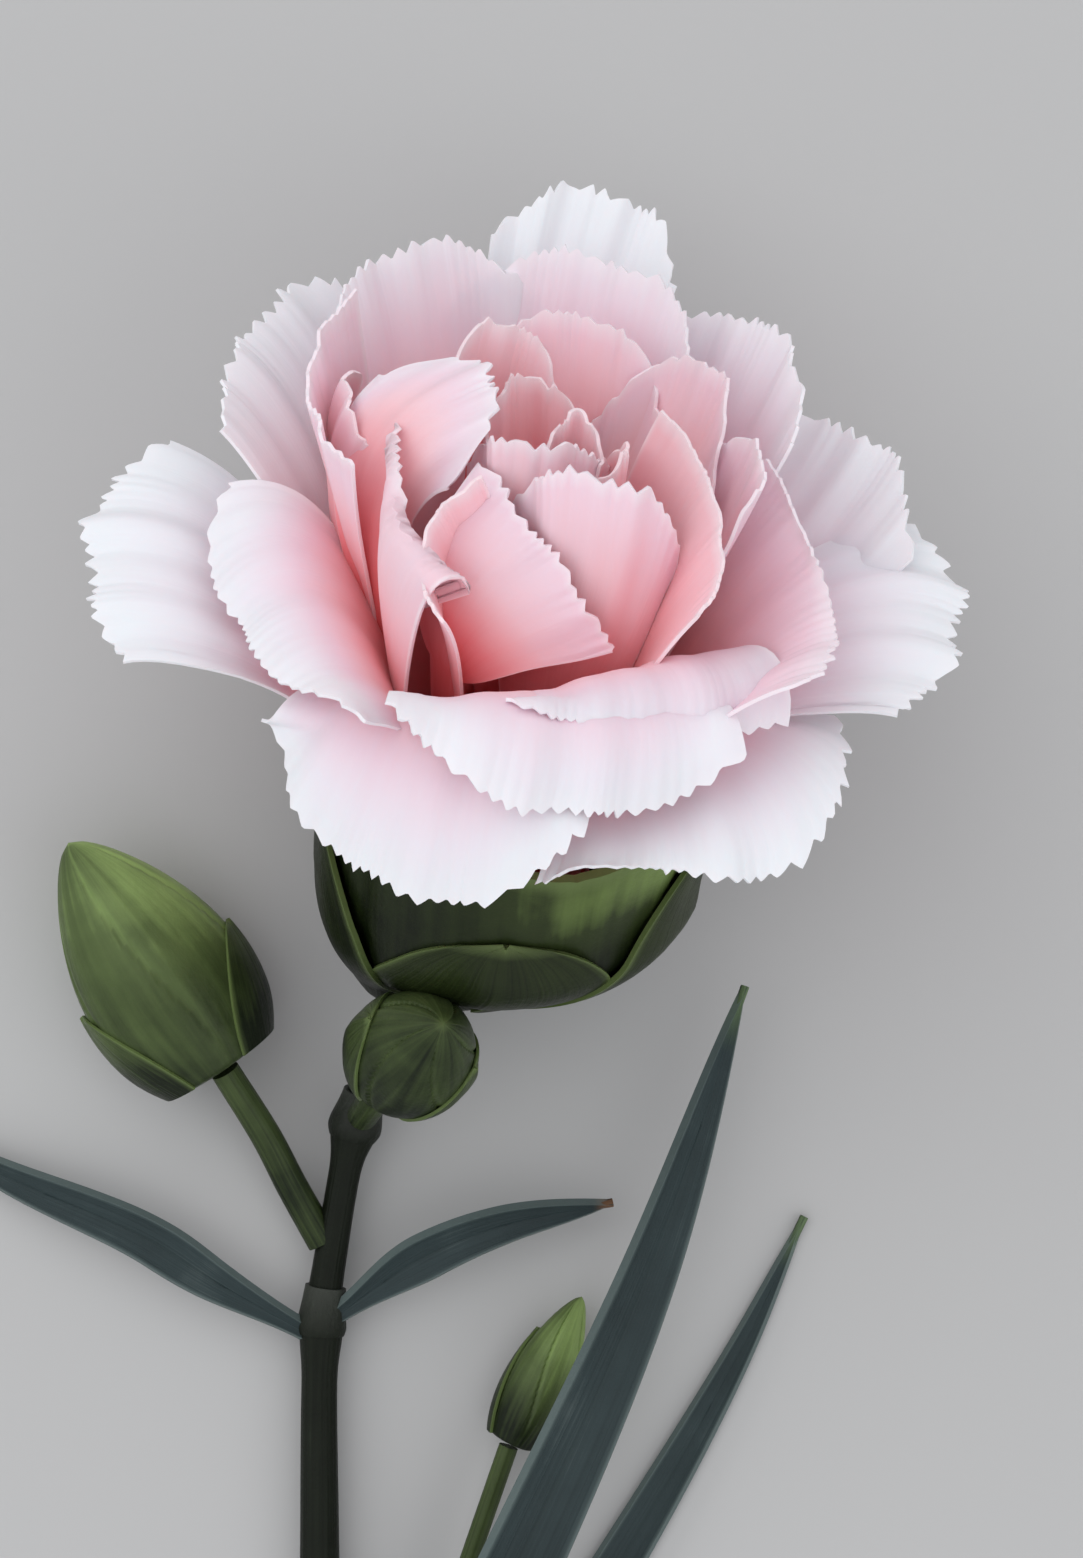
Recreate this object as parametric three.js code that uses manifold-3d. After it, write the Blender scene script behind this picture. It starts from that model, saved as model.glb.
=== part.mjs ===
// A cut carnation lying on a table: open bloom, two side buds, a low shoot and narrow leaves.
// Millimetres, Z up. The stem lies along Y with the bloom at the +Y end, facing up.

import * as THREE from 'three';
import Module from 'manifold-3d';
import { mergeVertices } from 'three/addons/utils/BufferGeometryUtils.js';

// Driving sizes

const stemCutLength = 125; // from the foot of the flower to the cut end
const stemCutRadius = 2.35;
const stemTopRadius = 1.45;
const nodeSwell = 1.25; // a node is this much thicker than the stem beside it
const stemOffset = -11.1; // the stem runs this much to the side of the flower's foot
const lowNodeHeight = 35; // above the cut end
const footOffset = 6.6; // the middle of the calyx's mouth runs back to here
const restHeight = 8; // the foot of the flower above the table

const bloomElevation = 38; // degrees that the flower's axis rises from the table
const bloomLean = 5; // degrees that the axis leans to +X
const bloomSpread = 1; // share of the full width of the open bloom
const petalThickness = 0.6;
const clearance = 0.3;
const cutTolerance = 0.12; // small facets left by a cut are merged up to this
const clawHalfWidth = 1.5;

const calyxHeight = 28;
const calyxRadius = 16.8;
const calyxWall = 0.9;
const calyxSkew = 8; // how far the base sits to the -X side of the mouth
const calyxDent = 4.2; // hollow where the front bud presses on it
const receptacleHeight = 6.4;

const bractThickness = 0.7;
const bractGap = 0.65; // a scale stands off what it hugs
const leafThickness = 0.9;
const stalkGap = 0.6; // between a stalk's end and the foot of its bud

const leftBudLength = 24.8;
const leftBudRadius = 7.8;
const frontBudLength = 17;
const frontBudRadius = 5.5;
const frontBudSetback = 2.4; // its foot lies this much inside the line of the calyx's wall
const shootBudLength = 15;
const shootBudRadius = 3.1;

const tableLevel = -restHeight;
const stemLevel = tableLevel + stemCutRadius * nodeSwell;

// Petals. Foot is [azimuth, radius]; knee and tip are [azimuth, radius, height] in the flower's
// own frame, in degrees and millimetres. Lift is how far the claw rises straight up from its foot.
// Face is the azimuth that the outer side looks to, tilt rolls the petal, width is across the margin.

const petals = [
  { name: 'front_flap_petal', foot: [232, 5], lift: 33, knee: [227.5, 18.6, 45.3],
    tip: [271.2, 9, 54.7], face: 236, tilt: -41, width: 20.1, claw: 36, corner: 0.05, cup: [40, 40] },
  { name: 'front_inner_petal', foot: [285, 3.6], lift: 15, knee: [288, 10.9, 44.2],
    tip: [293.3, 8.1, 61.2], face: 263, width: 19.3, claw: 25, cup: [60, 70] },
  { name: 'front_core_petal', foot: [262, 2], lift: 15, knee: [257, 5.1, 45.9], tip: [251.4, 3.1, 61],
    face: 275, width: 14.7, claw: 25, corner: 0.13, cup: [60, 70] },
  { name: 'centre_curl_petal', foot: [60, 1.6], lift: 15, knee: [60, 3, 48], tip: [45, 2.2, 61.5],
    face: 90, width: 10, claw: 29, cup: [90, 140] },
  { name: 'left_inner_petal', foot: [190, 4.6], lift: 29, knee: [186.7, 26.5, 55.5],
    tip: [159.9, 6.3, 64], face: 233, tilt: 5, width: 13, claw: 37, corner: 0.34, cup: [40, 30] },
  { name: 'left_edge_petal', foot: [208, 5], lift: 15, knee: [197.4, 17.8, 57.6],
    tip: [201.5, 13.6, 58.1], face: 175, tilt: -37, width: 23.6, corner: 0, cup: [60, 70] },
  { name: 'left_strip_petal', foot: [214, 3.2], lift: 15, knee: [222.7, 7.9, 46.3],
    tip: [226.7, 14.7, 55.7], face: 171, tilt: -34, width: 15.2, corner: 0, cup: [60, 60] },
  { name: 'right_inner_petal', foot: [335, 4.8], lift: 15, knee: [346.5, 6.8, 42.8],
    tip: [334.4, 15.3, 58.1], face: 4, tilt: 42, width: 21.5, corner: 0, cup: [60, 40] },
  { name: 'back_core_petal', foot: [112, 2.8], lift: 15, knee: [112, 6, 46], tip: [115, 8, 61],
    face: 120, width: 13, cup: [60, 70] },
  { name: 'right_core_petal', foot: [345, 2.4], lift: 15, knee: [340, 6, 46], tip: [345, 6, 60],
    width: 10, claw: 25, cup: [80, 110] },
  { name: 'back_left_inner_petal', foot: [138, 4.6], lift: 15, knee: [133.7, 12.1, 46.5],
    tip: [111.5, 14.2, 62.1], width: 14, corner: 0.2, cup: [60, 60] },
  { name: 'left_folded_petal', foot: [162, 5], lift: 15, knee: [164.8, 24.2, 45.6],
    tip: [167.9, 17.9, 59.1], face: 198, tilt: -20, width: 15, corner: 0.09, cup: [60, 60] },
  { name: 'left_upright_petal', foot: [163, 6.6], lift: 15, knee: [155.8, 19.2, 44.3],
    tip: [168.1, 21.4, 60.4], face: 188, tilt: -21, width: 22, corner: 0, cup: [50, 40] },
  { name: 'back_inner_petal', foot: [88, 4.8], lift: 15, knee: [84.6, 12, 46],
    tip: [87.6, 17.5, 61.1], face: 83, width: 18, corner: 0.2, cup: [60, 40] },
  { name: 'back_right_inner_petal', foot: [48, 4.8], lift: 15, knee: [45, 13, 46],
    tip: [42, 16.5, 61], width: 17, cup: [60, 50] },
  { name: 'right_folded_petal', foot: [8, 4.8], lift: 15, knee: [6, 13, 44], tip: [6, 17, 59],
    tilt: 15, width: 16, cup: [60, 40] },
  { name: 'lower_right_short_petal', foot: [300, 5.4], lift: 36, knee: [303.7, 18.7, 54.3],
    tip: [295.1, 22, 46], face: 299, width: 24.1, corner: 0.07, cup: [50, -5] },
  { name: 'lower_middle_petal', foot: [276, 5.4], lift: 36, knee: [283.2, 21.5, 57],
    tip: [275.8, 26.9, 42.5], face: 290, tilt: -8, width: 28.8, corner: 0.21, cup: [50, -5] },
  { name: 'left_front_petal', foot: [222, 6.8], lift: 34, knee: [207.4, 20.3, 53.7],
    tip: [208.2, 26.8, 46.3], face: 198, tilt: -8, width: 29.4, corner: 0.15, cup: [50, 10] },
  { name: 'right_front_petal', foot: [338, 6.8], lift: 22, knee: [341.2, 21.1, 49.5],
    tip: [344.7, 24, 51.4], face: 349, tilt: 24, width: 28.2, corner: 0.04, cup: [50, 40] },
  { name: 'back_left_petal', foot: [124, 6.6], lift: 15, knee: [119.1, 19.9, 47],
    tip: [120.2, 29.2, 61.1], face: 125, tilt: 3, width: 24, corner: 0.2, cup: [50, 40] },
  { name: 'back_middle_petal', foot: [84, 6.6], lift: 15, knee: [89.2, 18.2, 46.8],
    tip: [84.8, 26.2, 61.6], face: 67, tilt: -6, width: 25, corner: 0.2, cup: [50, 30] },
  { name: 'back_right_petal', foot: [44, 6.6], lift: 15, knee: [47.4, 17.9, 46],
    tip: [47.5, 26.1, 59.9], face: 33, tilt: -6, width: 24, corner: 0.2, cup: [50, 30] },
  { name: 'outer_lower_left_petal', foot: [242, 7.6], lift: 34, knee: [252.1, 23.9, 54.6],
    tip: [246.4, 27.9, 33.1], width: 30.4, cup: [50, -20] },
  { name: 'outer_lower_right_petal', foot: [318, 8.2], lift: 34, knee: [311.3, 24.3, 42.1],
    tip: [305.1, 29.1, 35.3], face: 299, tilt: 12, width: 31, corner: 0.36, cup: [50, -10] },
  { name: 'outer_left_petal', foot: [196, 8.4], lift: 28, knee: [184.1, 27.7, 50.8],
    tip: [182, 38.1, 45.9], tilt: -17, width: 22.5, corner: 0.16, cup: [50, -10] },
  { name: 'outer_right_petal', foot: [358, 7.8], lift: 26, knee: [-1.5, 24.4, 50.7],
    tip: [-2.1, 34.8, 45.6], face: 4, tilt: 9, width: 21.9, corner: 0.14, cup: [50, -10] },
  { name: 'outer_upper_left_petal', foot: [148, 8.4], lift: 18, knee: [142, 23.4, 50.8],
    tip: [150.4, 31.3, 56.7], face: 160, width: 24, corner: 0.08, cup: [50, 15] },
  { name: 'outer_upper_right_petal', foot: [28, 8], lift: 18, knee: [23.6, 23.7, 42.9],
    tip: [28.6, 29.9, 52.7], face: 33, tilt: 17, width: 21, corner: 0.15, cup: [50, 15] },
  { name: 'outer_top_petal', foot: [104, 8.4], lift: 18, knee: [91.8, 24.1, 53.9],
    tip: [86.8, 37.3, 61.2], face: 92, tilt: 4, width: 17, corner: 0.15, cup: [50, 15] },
  { name: 'outer_back_left_petal', foot: [126, 8.6], lift: 18, knee: [120, 26, 43],
    tip: [120, 39, 31], width: 26, cup: [50, -10] },
  { name: 'outer_back_right_petal', foot: [64, 8.4], lift: 18, knee: [60, 26, 43], tip: [60, 39, 31],
    width: 26, cup: [50, -10] },
];

const wasm = await Module();
wasm.setup();

const rad = THREE.MathUtils.degToRad;

const group = new THREE.Group();

// Materials

function petalMaterial() {
  return new THREE.MeshStandardMaterial({ color: 0xf0c3cf, roughness: 0.6, metalness: 0 });
}

function calyxMaterial() {
  return new THREE.MeshStandardMaterial({ color: 0x3f5527, roughness: 0.5, metalness: 0 });
}

function budMaterial() {
  return new THREE.MeshStandardMaterial({ color: 0x6f8f4b, roughness: 0.5, metalness: 0 });
}

function stemMaterial() {
  return new THREE.MeshStandardMaterial({ color: 0x39443a, roughness: 0.55, metalness: 0 });
}

function leafMaterial() {
  return new THREE.MeshStandardMaterial({ color: 0x475b5c, roughness: 0.55, metalness: 0 });
}

// Small helpers

function smooth(value) {
  const x = THREE.MathUtils.clamp(value, 0, 1);
  return x * x * (3 - 2 * x);
}

function addMesh(name, geometry, material) {
  const mesh = new THREE.Mesh(geometry, material);
  mesh.name = name;
  group.add(mesh);
}

// A closed geometry from rows of points that go round a closed ring. Both ends are capped.
function loft(rings) {
  const sides = rings[0].length;
  const positions = rings.flat().flatMap((point) => point.toArray());
  const index = [];
  for (let row = 0; row < rings.length - 1; row += 1) {
    for (let side = 0; side < sides; side += 1) {
      const next = (side + 1) % sides;
      const a = row * sides + side;
      const b = row * sides + next;
      index.push(a, b, b + sides, a, b + sides, a + sides);
    }
  }
  const ends = [rings[0], rings[rings.length - 1]];
  ends.forEach((ring, end) => {
    const centre = new THREE.Vector3();
    ring.forEach((point) => centre.addScaledVector(point, 1 / sides));
    positions.push(...centre.toArray());
    const hub = positions.length / 3 - 1;
    const start = end === 0 ? 0 : (rings.length - 1) * sides;
    for (let side = 0; side < sides; side += 1) {
      const next = (side + 1) % sides;
      const pair = end === 0 ? [start + next, start + side] : [start + side, start + next];
      index.push(hub, ...pair);
    }
  });
  return closedGeometry(positions, index);
}

function closedGeometry(positions, index) {
  const geometry = new THREE.BufferGeometry();
  geometry.setAttribute('position', new THREE.Float32BufferAttribute(positions, 3));
  geometry.setIndex(index);
  return geometry;
}

// A closed solid around a grid of points, half of the thickness to each side of it.
function sheetSolid(grid, thickness) {
  const rows = grid.length;
  const columns = grid[0].length;
  const upper = [];
  const lower = [];
  for (let row = 0; row < rows; row += 1) {
    for (let column = 0; column < columns; column += 1) {
      const down = grid[Math.min(row + 1, rows - 1)][column];
      const up = grid[Math.max(row - 1, 0)][column];
      const right = grid[row][Math.min(column + 1, columns - 1)];
      const left = grid[row][Math.max(column - 1, 0)];
      const along = new THREE.Vector3().subVectors(down, up);
      const across = new THREE.Vector3().subVectors(right, left);
      const normal = along.cross(across).normalize();
      const point = grid[row][column];
      upper.push(...point.clone().addScaledVector(normal, thickness / 2).toArray());
      lower.push(...point.clone().addScaledVector(normal, -thickness / 2).toArray());
    }
  }
  const index = [];
  const under = rows * columns;
  for (let row = 0; row < rows - 1; row += 1) {
    for (let column = 0; column < columns - 1; column += 1) {
      const a = row * columns + column;
      const b = a + 1;
      const c = a + columns;
      const d = c + 1;
      index.push(a, c, d, a, d, b);
      index.push(under + a, under + d, under + c, under + a, under + b, under + d);
    }
  }
  const border = [];
  for (let column = 0; column < columns - 1; column += 1) border.push(column);
  for (let row = 0; row < rows - 1; row += 1) border.push(row * columns + columns - 1);
  for (let column = columns - 1; column > 0; column -= 1) border.push((rows - 1) * columns + column);
  for (let row = rows - 1; row > 0; row -= 1) border.push(row * columns);
  border.forEach((a, place) => {
    const b = border[(place + 1) % border.length];
    index.push(a, b, under + b, a, under + b, under + a);
  });
  return closedGeometry([...upper, ...lower], index);
}

// Booleans

function toManifold(geometry) {
  const merged = mergeVertices(geometry, 1e-4);
  const mesh = new wasm.Mesh({
    numProp: 3,
    vertProperties: new Float32Array(merged.attributes.position.array),
    triVerts: new Uint32Array(merged.index.array),
  });
  return new wasm.Manifold(mesh);
}

function toGeometry(manifold) {
  const mesh = manifold.getMesh();
  return closedGeometry(Array.from(mesh.vertProperties), Array.from(mesh.triVerts));
}

function largestPiece(manifold) {
  const pieces = manifold.decompose();
  pieces.sort((a, b) => b.volume() - a.volume());
  return pieces[0];
}

function boxesTouch(a, b) {
  return [0, 1, 2].every((axis) => a.min[axis] < b.max[axis] && b.min[axis] < a.max[axis]);
}

// The flower's own frame: Z up its axis, X to the right, azimuth 90 toward the table.

const flowerFrame = new THREE.Object3D();
flowerFrame.rotation.order = 'ZYX';
flowerFrame.rotation.x = -rad(90 - bloomElevation);
flowerFrame.rotation.z = -rad(bloomLean);
flowerFrame.position.set(footOffset, 0, 0);
flowerFrame.updateMatrixWorld();

function polar(azimuth, radius, height, shift = 0) {
  const angle = rad(azimuth);
  return new THREE.Vector3(radius * Math.cos(angle) + shift, radius * Math.sin(angle), height);
}

// Points below the table are laid flat on it, with a soft bend just above.
function layOnTable(point, level, softness = 1.5) {
  const height = point.z - level;
  if (height > softness) return point;
  const bend = Math.max(height + softness, 0);
  point.z = level + (bend * bend) / (4 * softness);
  return point;
}

// Calyx and buds: a round body whose radius and centre change with height

const calyxBody = {
  frame: flowerFrame.matrixWorld,
  height: calyxHeight,
  radius(height, azimuth) {
    const share = THREE.MathUtils.clamp((height + 0.9) / 16, 0, 1);
    const round = calyxRadius * (0.13 + 0.87 * Math.sin((share * Math.PI) / 2) ** 0.95);
    const dent = Math.exp(-(((azimuth - 260) / 38) ** 2) - ((height - 3) / 5.5) ** 2);
    return round - calyxDent * dent * Math.min(round / 9, 1) ** 2;
  },
  shift(height) {
    const share = THREE.MathUtils.clamp(1 - height / 14, 0, 1.2);
    return -calyxSkew * share ** 1.5;
  },
};

function bodyPoint(body, azimuth, height, offset) {
  const radius = Math.max(body.radius(height, azimuth) + offset, 0.02);
  return polar(azimuth, radius, height, body.shift(height)).applyMatrix4(body.frame);
}

function bodyRing(body, height, offset, sides) {
  return Array.from({ length: sides }, (_, side) => bodyPoint(body, (side * 360) / sides, height, offset));
}

function budBody(base, axis, length, radius) {
  const frame = new THREE.Matrix4();
  const up = axis.clone().normalize();
  const right = up.clone().cross(new THREE.Vector3(0, 0, 1)).normalize();
  const back = up.clone().cross(right);
  frame.makeBasis(right, back, up);
  frame.setPosition(base);
  return {
    frame,
    height: length,
    radius(height) {
      const share = THREE.MathUtils.clamp(height / length, 0, 1);
      const belly = Math.sin(Math.PI * (0.12 + 0.88 * share) ** 0.8) ** 0.75;
      return radius * Math.max(belly, 0.06);
    },
    shift() {
      return 0;
    },
  };
}

// A scale that hugs a body: broad at its foot and pointed at its tip
function bractSolid(body, { azimuth, halfAngle, from, to, offset, rows = 6, columns = 6 }) {
  const grid = [];
  for (let row = 0; row <= rows; row += 1) {
    const along = row / rows;
    const height = THREE.MathUtils.lerp(from, to, along ** 1.4);
    const spread = Math.max(halfAngle * Math.sqrt(1 - along ** 2.2), 2);
    const line = [];
    for (let column = 0; column <= columns; column += 1) {
      const across = (column / columns) * 2 - 1;
      line.push(bodyPoint(body, azimuth + across * spread, height, offset + bractThickness / 2));
    }
    grid.push(line);
  }
  return sheetSolid(grid, bractThickness);
}

// Stem: a tube whose radius follows the nodes

function tube(points, radii, rows, sides = 10) {
  const curve = new THREE.CatmullRomCurve3(points);
  const frames = curve.computeFrenetFrames(rows, false);
  const rings = [];
  for (let row = 0; row <= rows; row += 1) {
    const along = row / rows;
    const centre = curve.getPointAt(along);
    const radius = radii(along, centre);
    const ring = [];
    for (let side = 0; side < sides; side += 1) {
      const angle = (side * 2 * Math.PI) / sides;
      const point = centre.clone();
      point.addScaledVector(frames.normals[row], radius * Math.cos(angle));
      point.addScaledVector(frames.binormals[row], radius * Math.sin(angle));
      ring.push(point);
    }
    rings.push(ring);
  }
  return loft(rings);
}

const upperNode = new THREE.Vector3(-7.6, -12.6, -3.9);
const budJoint = new THREE.Vector3(-9.7, -23.6, stemLevel + 0.3);
const leafNode = new THREE.Vector3(-10.7, -31.3, stemLevel);
const lowNode = new THREE.Vector3(stemOffset, lowNodeHeight - stemCutLength, stemLevel);

function nodeShape(y, node, reach) {
  return Math.exp(-(((y - node.y) / reach) ** 2));
}

function stemRadius(y) {
  const taper = THREE.MathUtils.clamp((y + stemCutLength) / (stemCutLength - 20), 0, 1);
  const plain = THREE.MathUtils.lerp(stemCutRadius, stemTopRadius, taper ** 1.4);
  const flare = 0.5 * smooth((y - upperNode.y - 1) / 6);
  const low = nodeShape(y, lowNode, 4) + nodeShape(y, leafNode, 3);
  const top = nodeShape(y, upperNode, 2.2) * 2;
  return (plain + flare) * (1 + (nodeSwell - 1) * Math.min(low + top, 3));
}

// A start beside the stem: side 1 is +X, gap is from the stem's skin, rise is from its middle
function besideStem(node, side, gap, forward, rise) {
  const y = node.y + forward;
  return new THREE.Vector3(node.x + side * (stemRadius(y) + gap), y, node.z + rise);
}

// A point part of the way between two others, lifted by rise
function onTheWay(start, end, share, rise) {
  const point = start.clone().lerp(end, share);
  point.z += rise;
  return point;
}

function makeStem() {
  const calyxFoot = bodyPoint(calyxBody, 0, -0.9, -calyxBody.radius(-0.9, 0));
  const receptacle = bodyPoint(calyxBody, 0, 2, -calyxBody.radius(2, 0));
  const cutEnd = new THREE.Vector3(stemOffset, -stemCutLength, stemLevel);
  const middle = lowNode.clone().lerp(leafNode, 0.6);
  const points = [
    cutEnd,
    lowNode,
    middle,
    leafNode,
    budJoint,
    upperNode,
    new THREE.Vector3(-5.4, -6.3, -2.6),
    calyxFoot,
    receptacle,
  ];
  const stemTube = tube(points, (along, centre) => stemRadius(centre.y), 32, 8);
  const rings = [];
  for (let row = 0; row <= 4; row += 1) {
    const height = THREE.MathUtils.lerp(1, receptacleHeight, row / 4);
    rings.push(bodyRing(calyxBody, height, -calyxWall - 2 * clearance, 16));
  }
  return toManifold(stemTube).add(toManifold(loft(rings)));
}

// A spare all round makes the room that the petals keep clear of
function makeCalyx(spare = 0) {
  const sides = 20;
  const rows = 7;
  const outer = [];
  const inner = [];
  for (let row = 0; row <= rows; row += 1) {
    const share = (row / rows) ** 1.25;
    const wall = [];
    const lining = [];
    for (let side = 0; side < sides; side += 1) {
      const azimuth = (side * 360) / sides;
      const tooth = Math.abs(((azimuth / 72) % 1) - 0.5) * 2;
      const top = calyxHeight + spare - 2.2 * tooth;
      const height = THREE.MathUtils.lerp(0.4, top, share);
      wall.push(bodyPoint(calyxBody, azimuth, height, spare));
      lining.push(bodyPoint(calyxBody, azimuth, height, -calyxWall - spare));
    }
    outer.push(wall);
    inner.push(lining);
  }
  // the wall runs up the outside, over the rim and down the inside, and closes at the foot
  const rings = [...outer, ...inner.reverse()];
  const positions = rings.flat().flatMap((point) => point.toArray());
  const index = [];
  for (let row = 0; row < rings.length; row += 1) {
    const nextRow = (row + 1) % rings.length;
    for (let side = 0; side < sides; side += 1) {
      const next = (side + 1) % sides;
      const a = row * sides + side;
      const b = row * sides + next;
      const c = nextRow * sides + side;
      const d = nextRow * sides + next;
      index.push(a, b, d, a, d, c);
    }
  }
  return closedGeometry(positions, index);
}

// Petals

function petalGrid(petal, rows, columns, reach) {
  const foot = polar(petal.foot[0], petal.foot[1], receptacleHeight + clearance + 0.2, calyxBody.shift(7));
  const rise = foot.clone();
  rise.z += petal.lift;
  const spread = bloomSpread;
  const knee = polar(petal.knee[0], petal.knee[1] * spread, petal.knee[2]);
  const tip = polar(petal.tip[0], petal.tip[1] * spread, petal.tip[2]);
  const midrib = new THREE.CubicBezierCurve3(foot, rise, knee, tip);
  const length = midrib.getLength();
  const claw = petal.claw ?? 20;
  const blade = length - claw;
  const corner = petal.corner ?? 0.3;
  const face = rad(petal.face ?? petal.tip[0]);
  const tilt = rad(petal.tilt ?? 0);
  const side = new THREE.Vector3(-Math.sin(face), Math.cos(face), 0).multiplyScalar(Math.cos(tilt));
  side.z = Math.sin(tilt);
  const halfWidth = petal.width / 2;
  const clawShare = 2 / rows;
  const grid = [];
  for (let row = 0; row <= rows; row += 1) {
    const share = row / rows;
    const out = THREE.MathUtils.clamp((share - clawShare) / (1 - clawShare), 0, 1);
    const line = [];
    for (let column = 0; column <= columns; column += 1) {
      const across = (column / columns) * 2 - 1;
      const onBlade = blade * out * (1 - corner * out * Math.abs(across) ** 2.8);
      const along = out > 0 ? claw + onBlade : (claw * share) / clawShare;
      const bladeWidth = (halfWidth - clawHalfWidth) * out ** 0.62;
      const lateral = across * (clawHalfWidth + reach + bladeWidth);
      const place = Math.min(along / length, 1);
      const centre = midrib.getPointAt(place);
      const forward = midrib.getTangentAt(place);
      const normal = forward.clone().cross(side).normalize();
      const sideways = normal.clone().cross(forward);
      const bend = THREE.MathUtils.lerp(rad(petal.cup[0]), rad(petal.cup[1]), smooth(out * 1.3));
      const curve = (Math.abs(bend) < 0.01 ? 0.01 : bend) / halfWidth;
      centre.addScaledVector(sideways, Math.sin(lateral * curve) / curve);
      centre.addScaledVector(normal, (1 - Math.cos(lateral * curve)) / curve);
      if (row === rows) centre.addScaledVector(forward, reach);
      centre.applyMatrix4(flowerFrame.matrixWorld);
      line.push(layOnTable(centre, tableLevel + petalThickness / 2));
    }
    grid.push(line);
  }
  return grid;
}

const petalRows = 8;
const petalColumns = 6;

function cutWith(solid, others) {
  let rest = solid;
  others.forEach((other) => {
    if (boxesTouch(rest.boundingBox(), other.boundingBox())) rest = rest.subtract(other);
  });
  return largestPiece(rest);
}

function makePetals() {
  const keepOuts = [toManifold(makeCalyx(clearance))];
  const placed = [];
  petals.forEach((petal) => {
    const sheet = sheetSolid(petalGrid(petal, petalRows, petalColumns, 0), petalThickness);
    const clear = cutWith(toManifold(sheet), keepOuts);
    const whole = cutWith(largestPiece(clear.simplify(cutTolerance)), placed);
    placed.push(whole.asOriginal());
    addMesh(petal.name, toGeometry(whole), petalMaterial());
    const guard = sheetSolid(petalGrid(petal, petalRows, petalColumns, clearance),
      petalThickness + 2 * clearance);
    keepOuts.push(toManifold(guard));
  });
}

// Buds

function makeBud(body, sides = 12, rows = 8) {
  const rings = [];
  for (let row = 0; row <= rows; row += 1) {
    rings.push(bodyRing(body, (row / rows) * body.height, 0, sides));
  }
  return loft(rings);
}

// Leaves: a long narrow blade with a channel along its middle

function leafGrid(points, width, roll, rows) {
  const curve = new THREE.CatmullRomCurve3(points);
  const grid = [];
  for (let row = 0; row <= rows; row += 1) {
    const along = row / rows;
    const centre = curve.getPointAt(along);
    const forward = curve.getTangentAt(along);
    const flat = new THREE.Vector3(0, 0, 1).cross(forward).normalize();
    const upward = forward.clone().cross(flat);
    const turn = rad(roll);
    const sideways = flat.clone().multiplyScalar(Math.cos(turn));
    sideways.addScaledVector(upward, Math.sin(turn));
    const raised = forward.clone().cross(sideways);
    const half = (width / 2) * Math.max(0.55 + 0.45 * smooth(along * 4), 0) * (1 - along ** 3.2) ** 0.8;
    const channel = 0.28 * half;
    const line = [-1, -0.5, 0, 0.5, 1].map((across) => {
      const point = centre.clone();
      point.addScaledVector(sideways, across * Math.max(half, 0.12));
      point.addScaledVector(raised, channel * across * across);
      return layOnTable(point, tableLevel + leafThickness / 2, 0.6);
    });
    grid.push(line);
  }
  return grid;
}

const leftLeafStart = besideStem(leafNode, -1, 1, -0.2, 0.5);
const rightLeafStart = besideStem(leafNode, 1, 0.9, 1.2, 0.7);
const tallLeafStart = besideStem(lowNode, 1, 1.2, 4, 1.7);
const tallLeafBend = new THREE.Vector3(7.5, -50.9, 2.4);
const lowLeafStart = besideStem(lowNode, 1, 1.3, -3, -0.7);
const lowLeafBend = new THREE.Vector3(16.8, -52.5, -7.2);

const leaves = [
  { name: 'left_leaf', width: 4.6, roll: -8, rows: 12,
    points: [leftLeafStart, new THREE.Vector3(-20, -26.8, -3.4), new THREE.Vector3(-27, -22.4, -3.2),
      new THREE.Vector3(-39, -17.4, -4.8), new THREE.Vector3(-48, -13.3, -7.3)] },
  { name: 'right_leaf', width: 4.6, roll: 16, rows: 10,
    points: [rightLeafStart, new THREE.Vector3(-1.8, -24.6, -3), new THREE.Vector3(5.8, -21.4, -2.4),
      new THREE.Vector3(16, -19.5, -3.6)] },
  { name: 'tall_leaf', width: 8.2, roll: 20, rows: 14,
    points: [tallLeafStart, onTheWay(tallLeafStart, tallLeafBend, 0.46, 1.2), tallLeafBend,
      new THREE.Vector3(19.1, -25, 2), new THREE.Vector3(28, 0.4, -1.2)] },
  { name: 'low_leaf', width: 5, roll: 0, rows: 12,
    points: [lowLeafStart, onTheWay(lowLeafStart, lowLeafBend, 0.5, 0), lowLeafBend,
      new THREE.Vector3(27.4, -34.1, -7.2), new THREE.Vector3(33.7, -21.1, -7.2)] },
];

// Put the flower together

const stemSolid = makeStem();
addMesh('stem', toGeometry(stemSolid), stemMaterial());
addMesh('calyx', makeCalyx(), calyxMaterial());
makePetals();

const outerScale = bractThickness + 2 * bractGap + clearance;
const calyxBracts = [
  { name: 'calyx_bract_front', azimuth: 268, halfAngle: 54, from: 1, to: 19, offset: bractGap },
  { name: 'calyx_bract_back', azimuth: 85, halfAngle: 52, from: 1, to: 17, offset: bractGap },
  { name: 'calyx_bract_left', azimuth: 180, halfAngle: 52, from: 1.4, to: 21, offset: outerScale },
  { name: 'calyx_bract_right', azimuth: 350, halfAngle: 52, from: 2.2, to: 23, offset: outerScale },
];
const calyxRoom = [toManifold(makeCalyx(clearance / 2))];
calyxBracts.forEach((bract) => {
  const blank = toManifold(bractSolid(calyxBody, { ...bract, rows: 6, columns: 8 }));
  const scale = cutWith(blank, calyxRoom);
  calyxRoom.push(scale);
  addMesh(bract.name, toGeometry(scale), calyxMaterial());
});

// Small bud in front of the calyx

const frontBudAxis = new THREE.Vector3(5, 5.2, 16.5);
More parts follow.
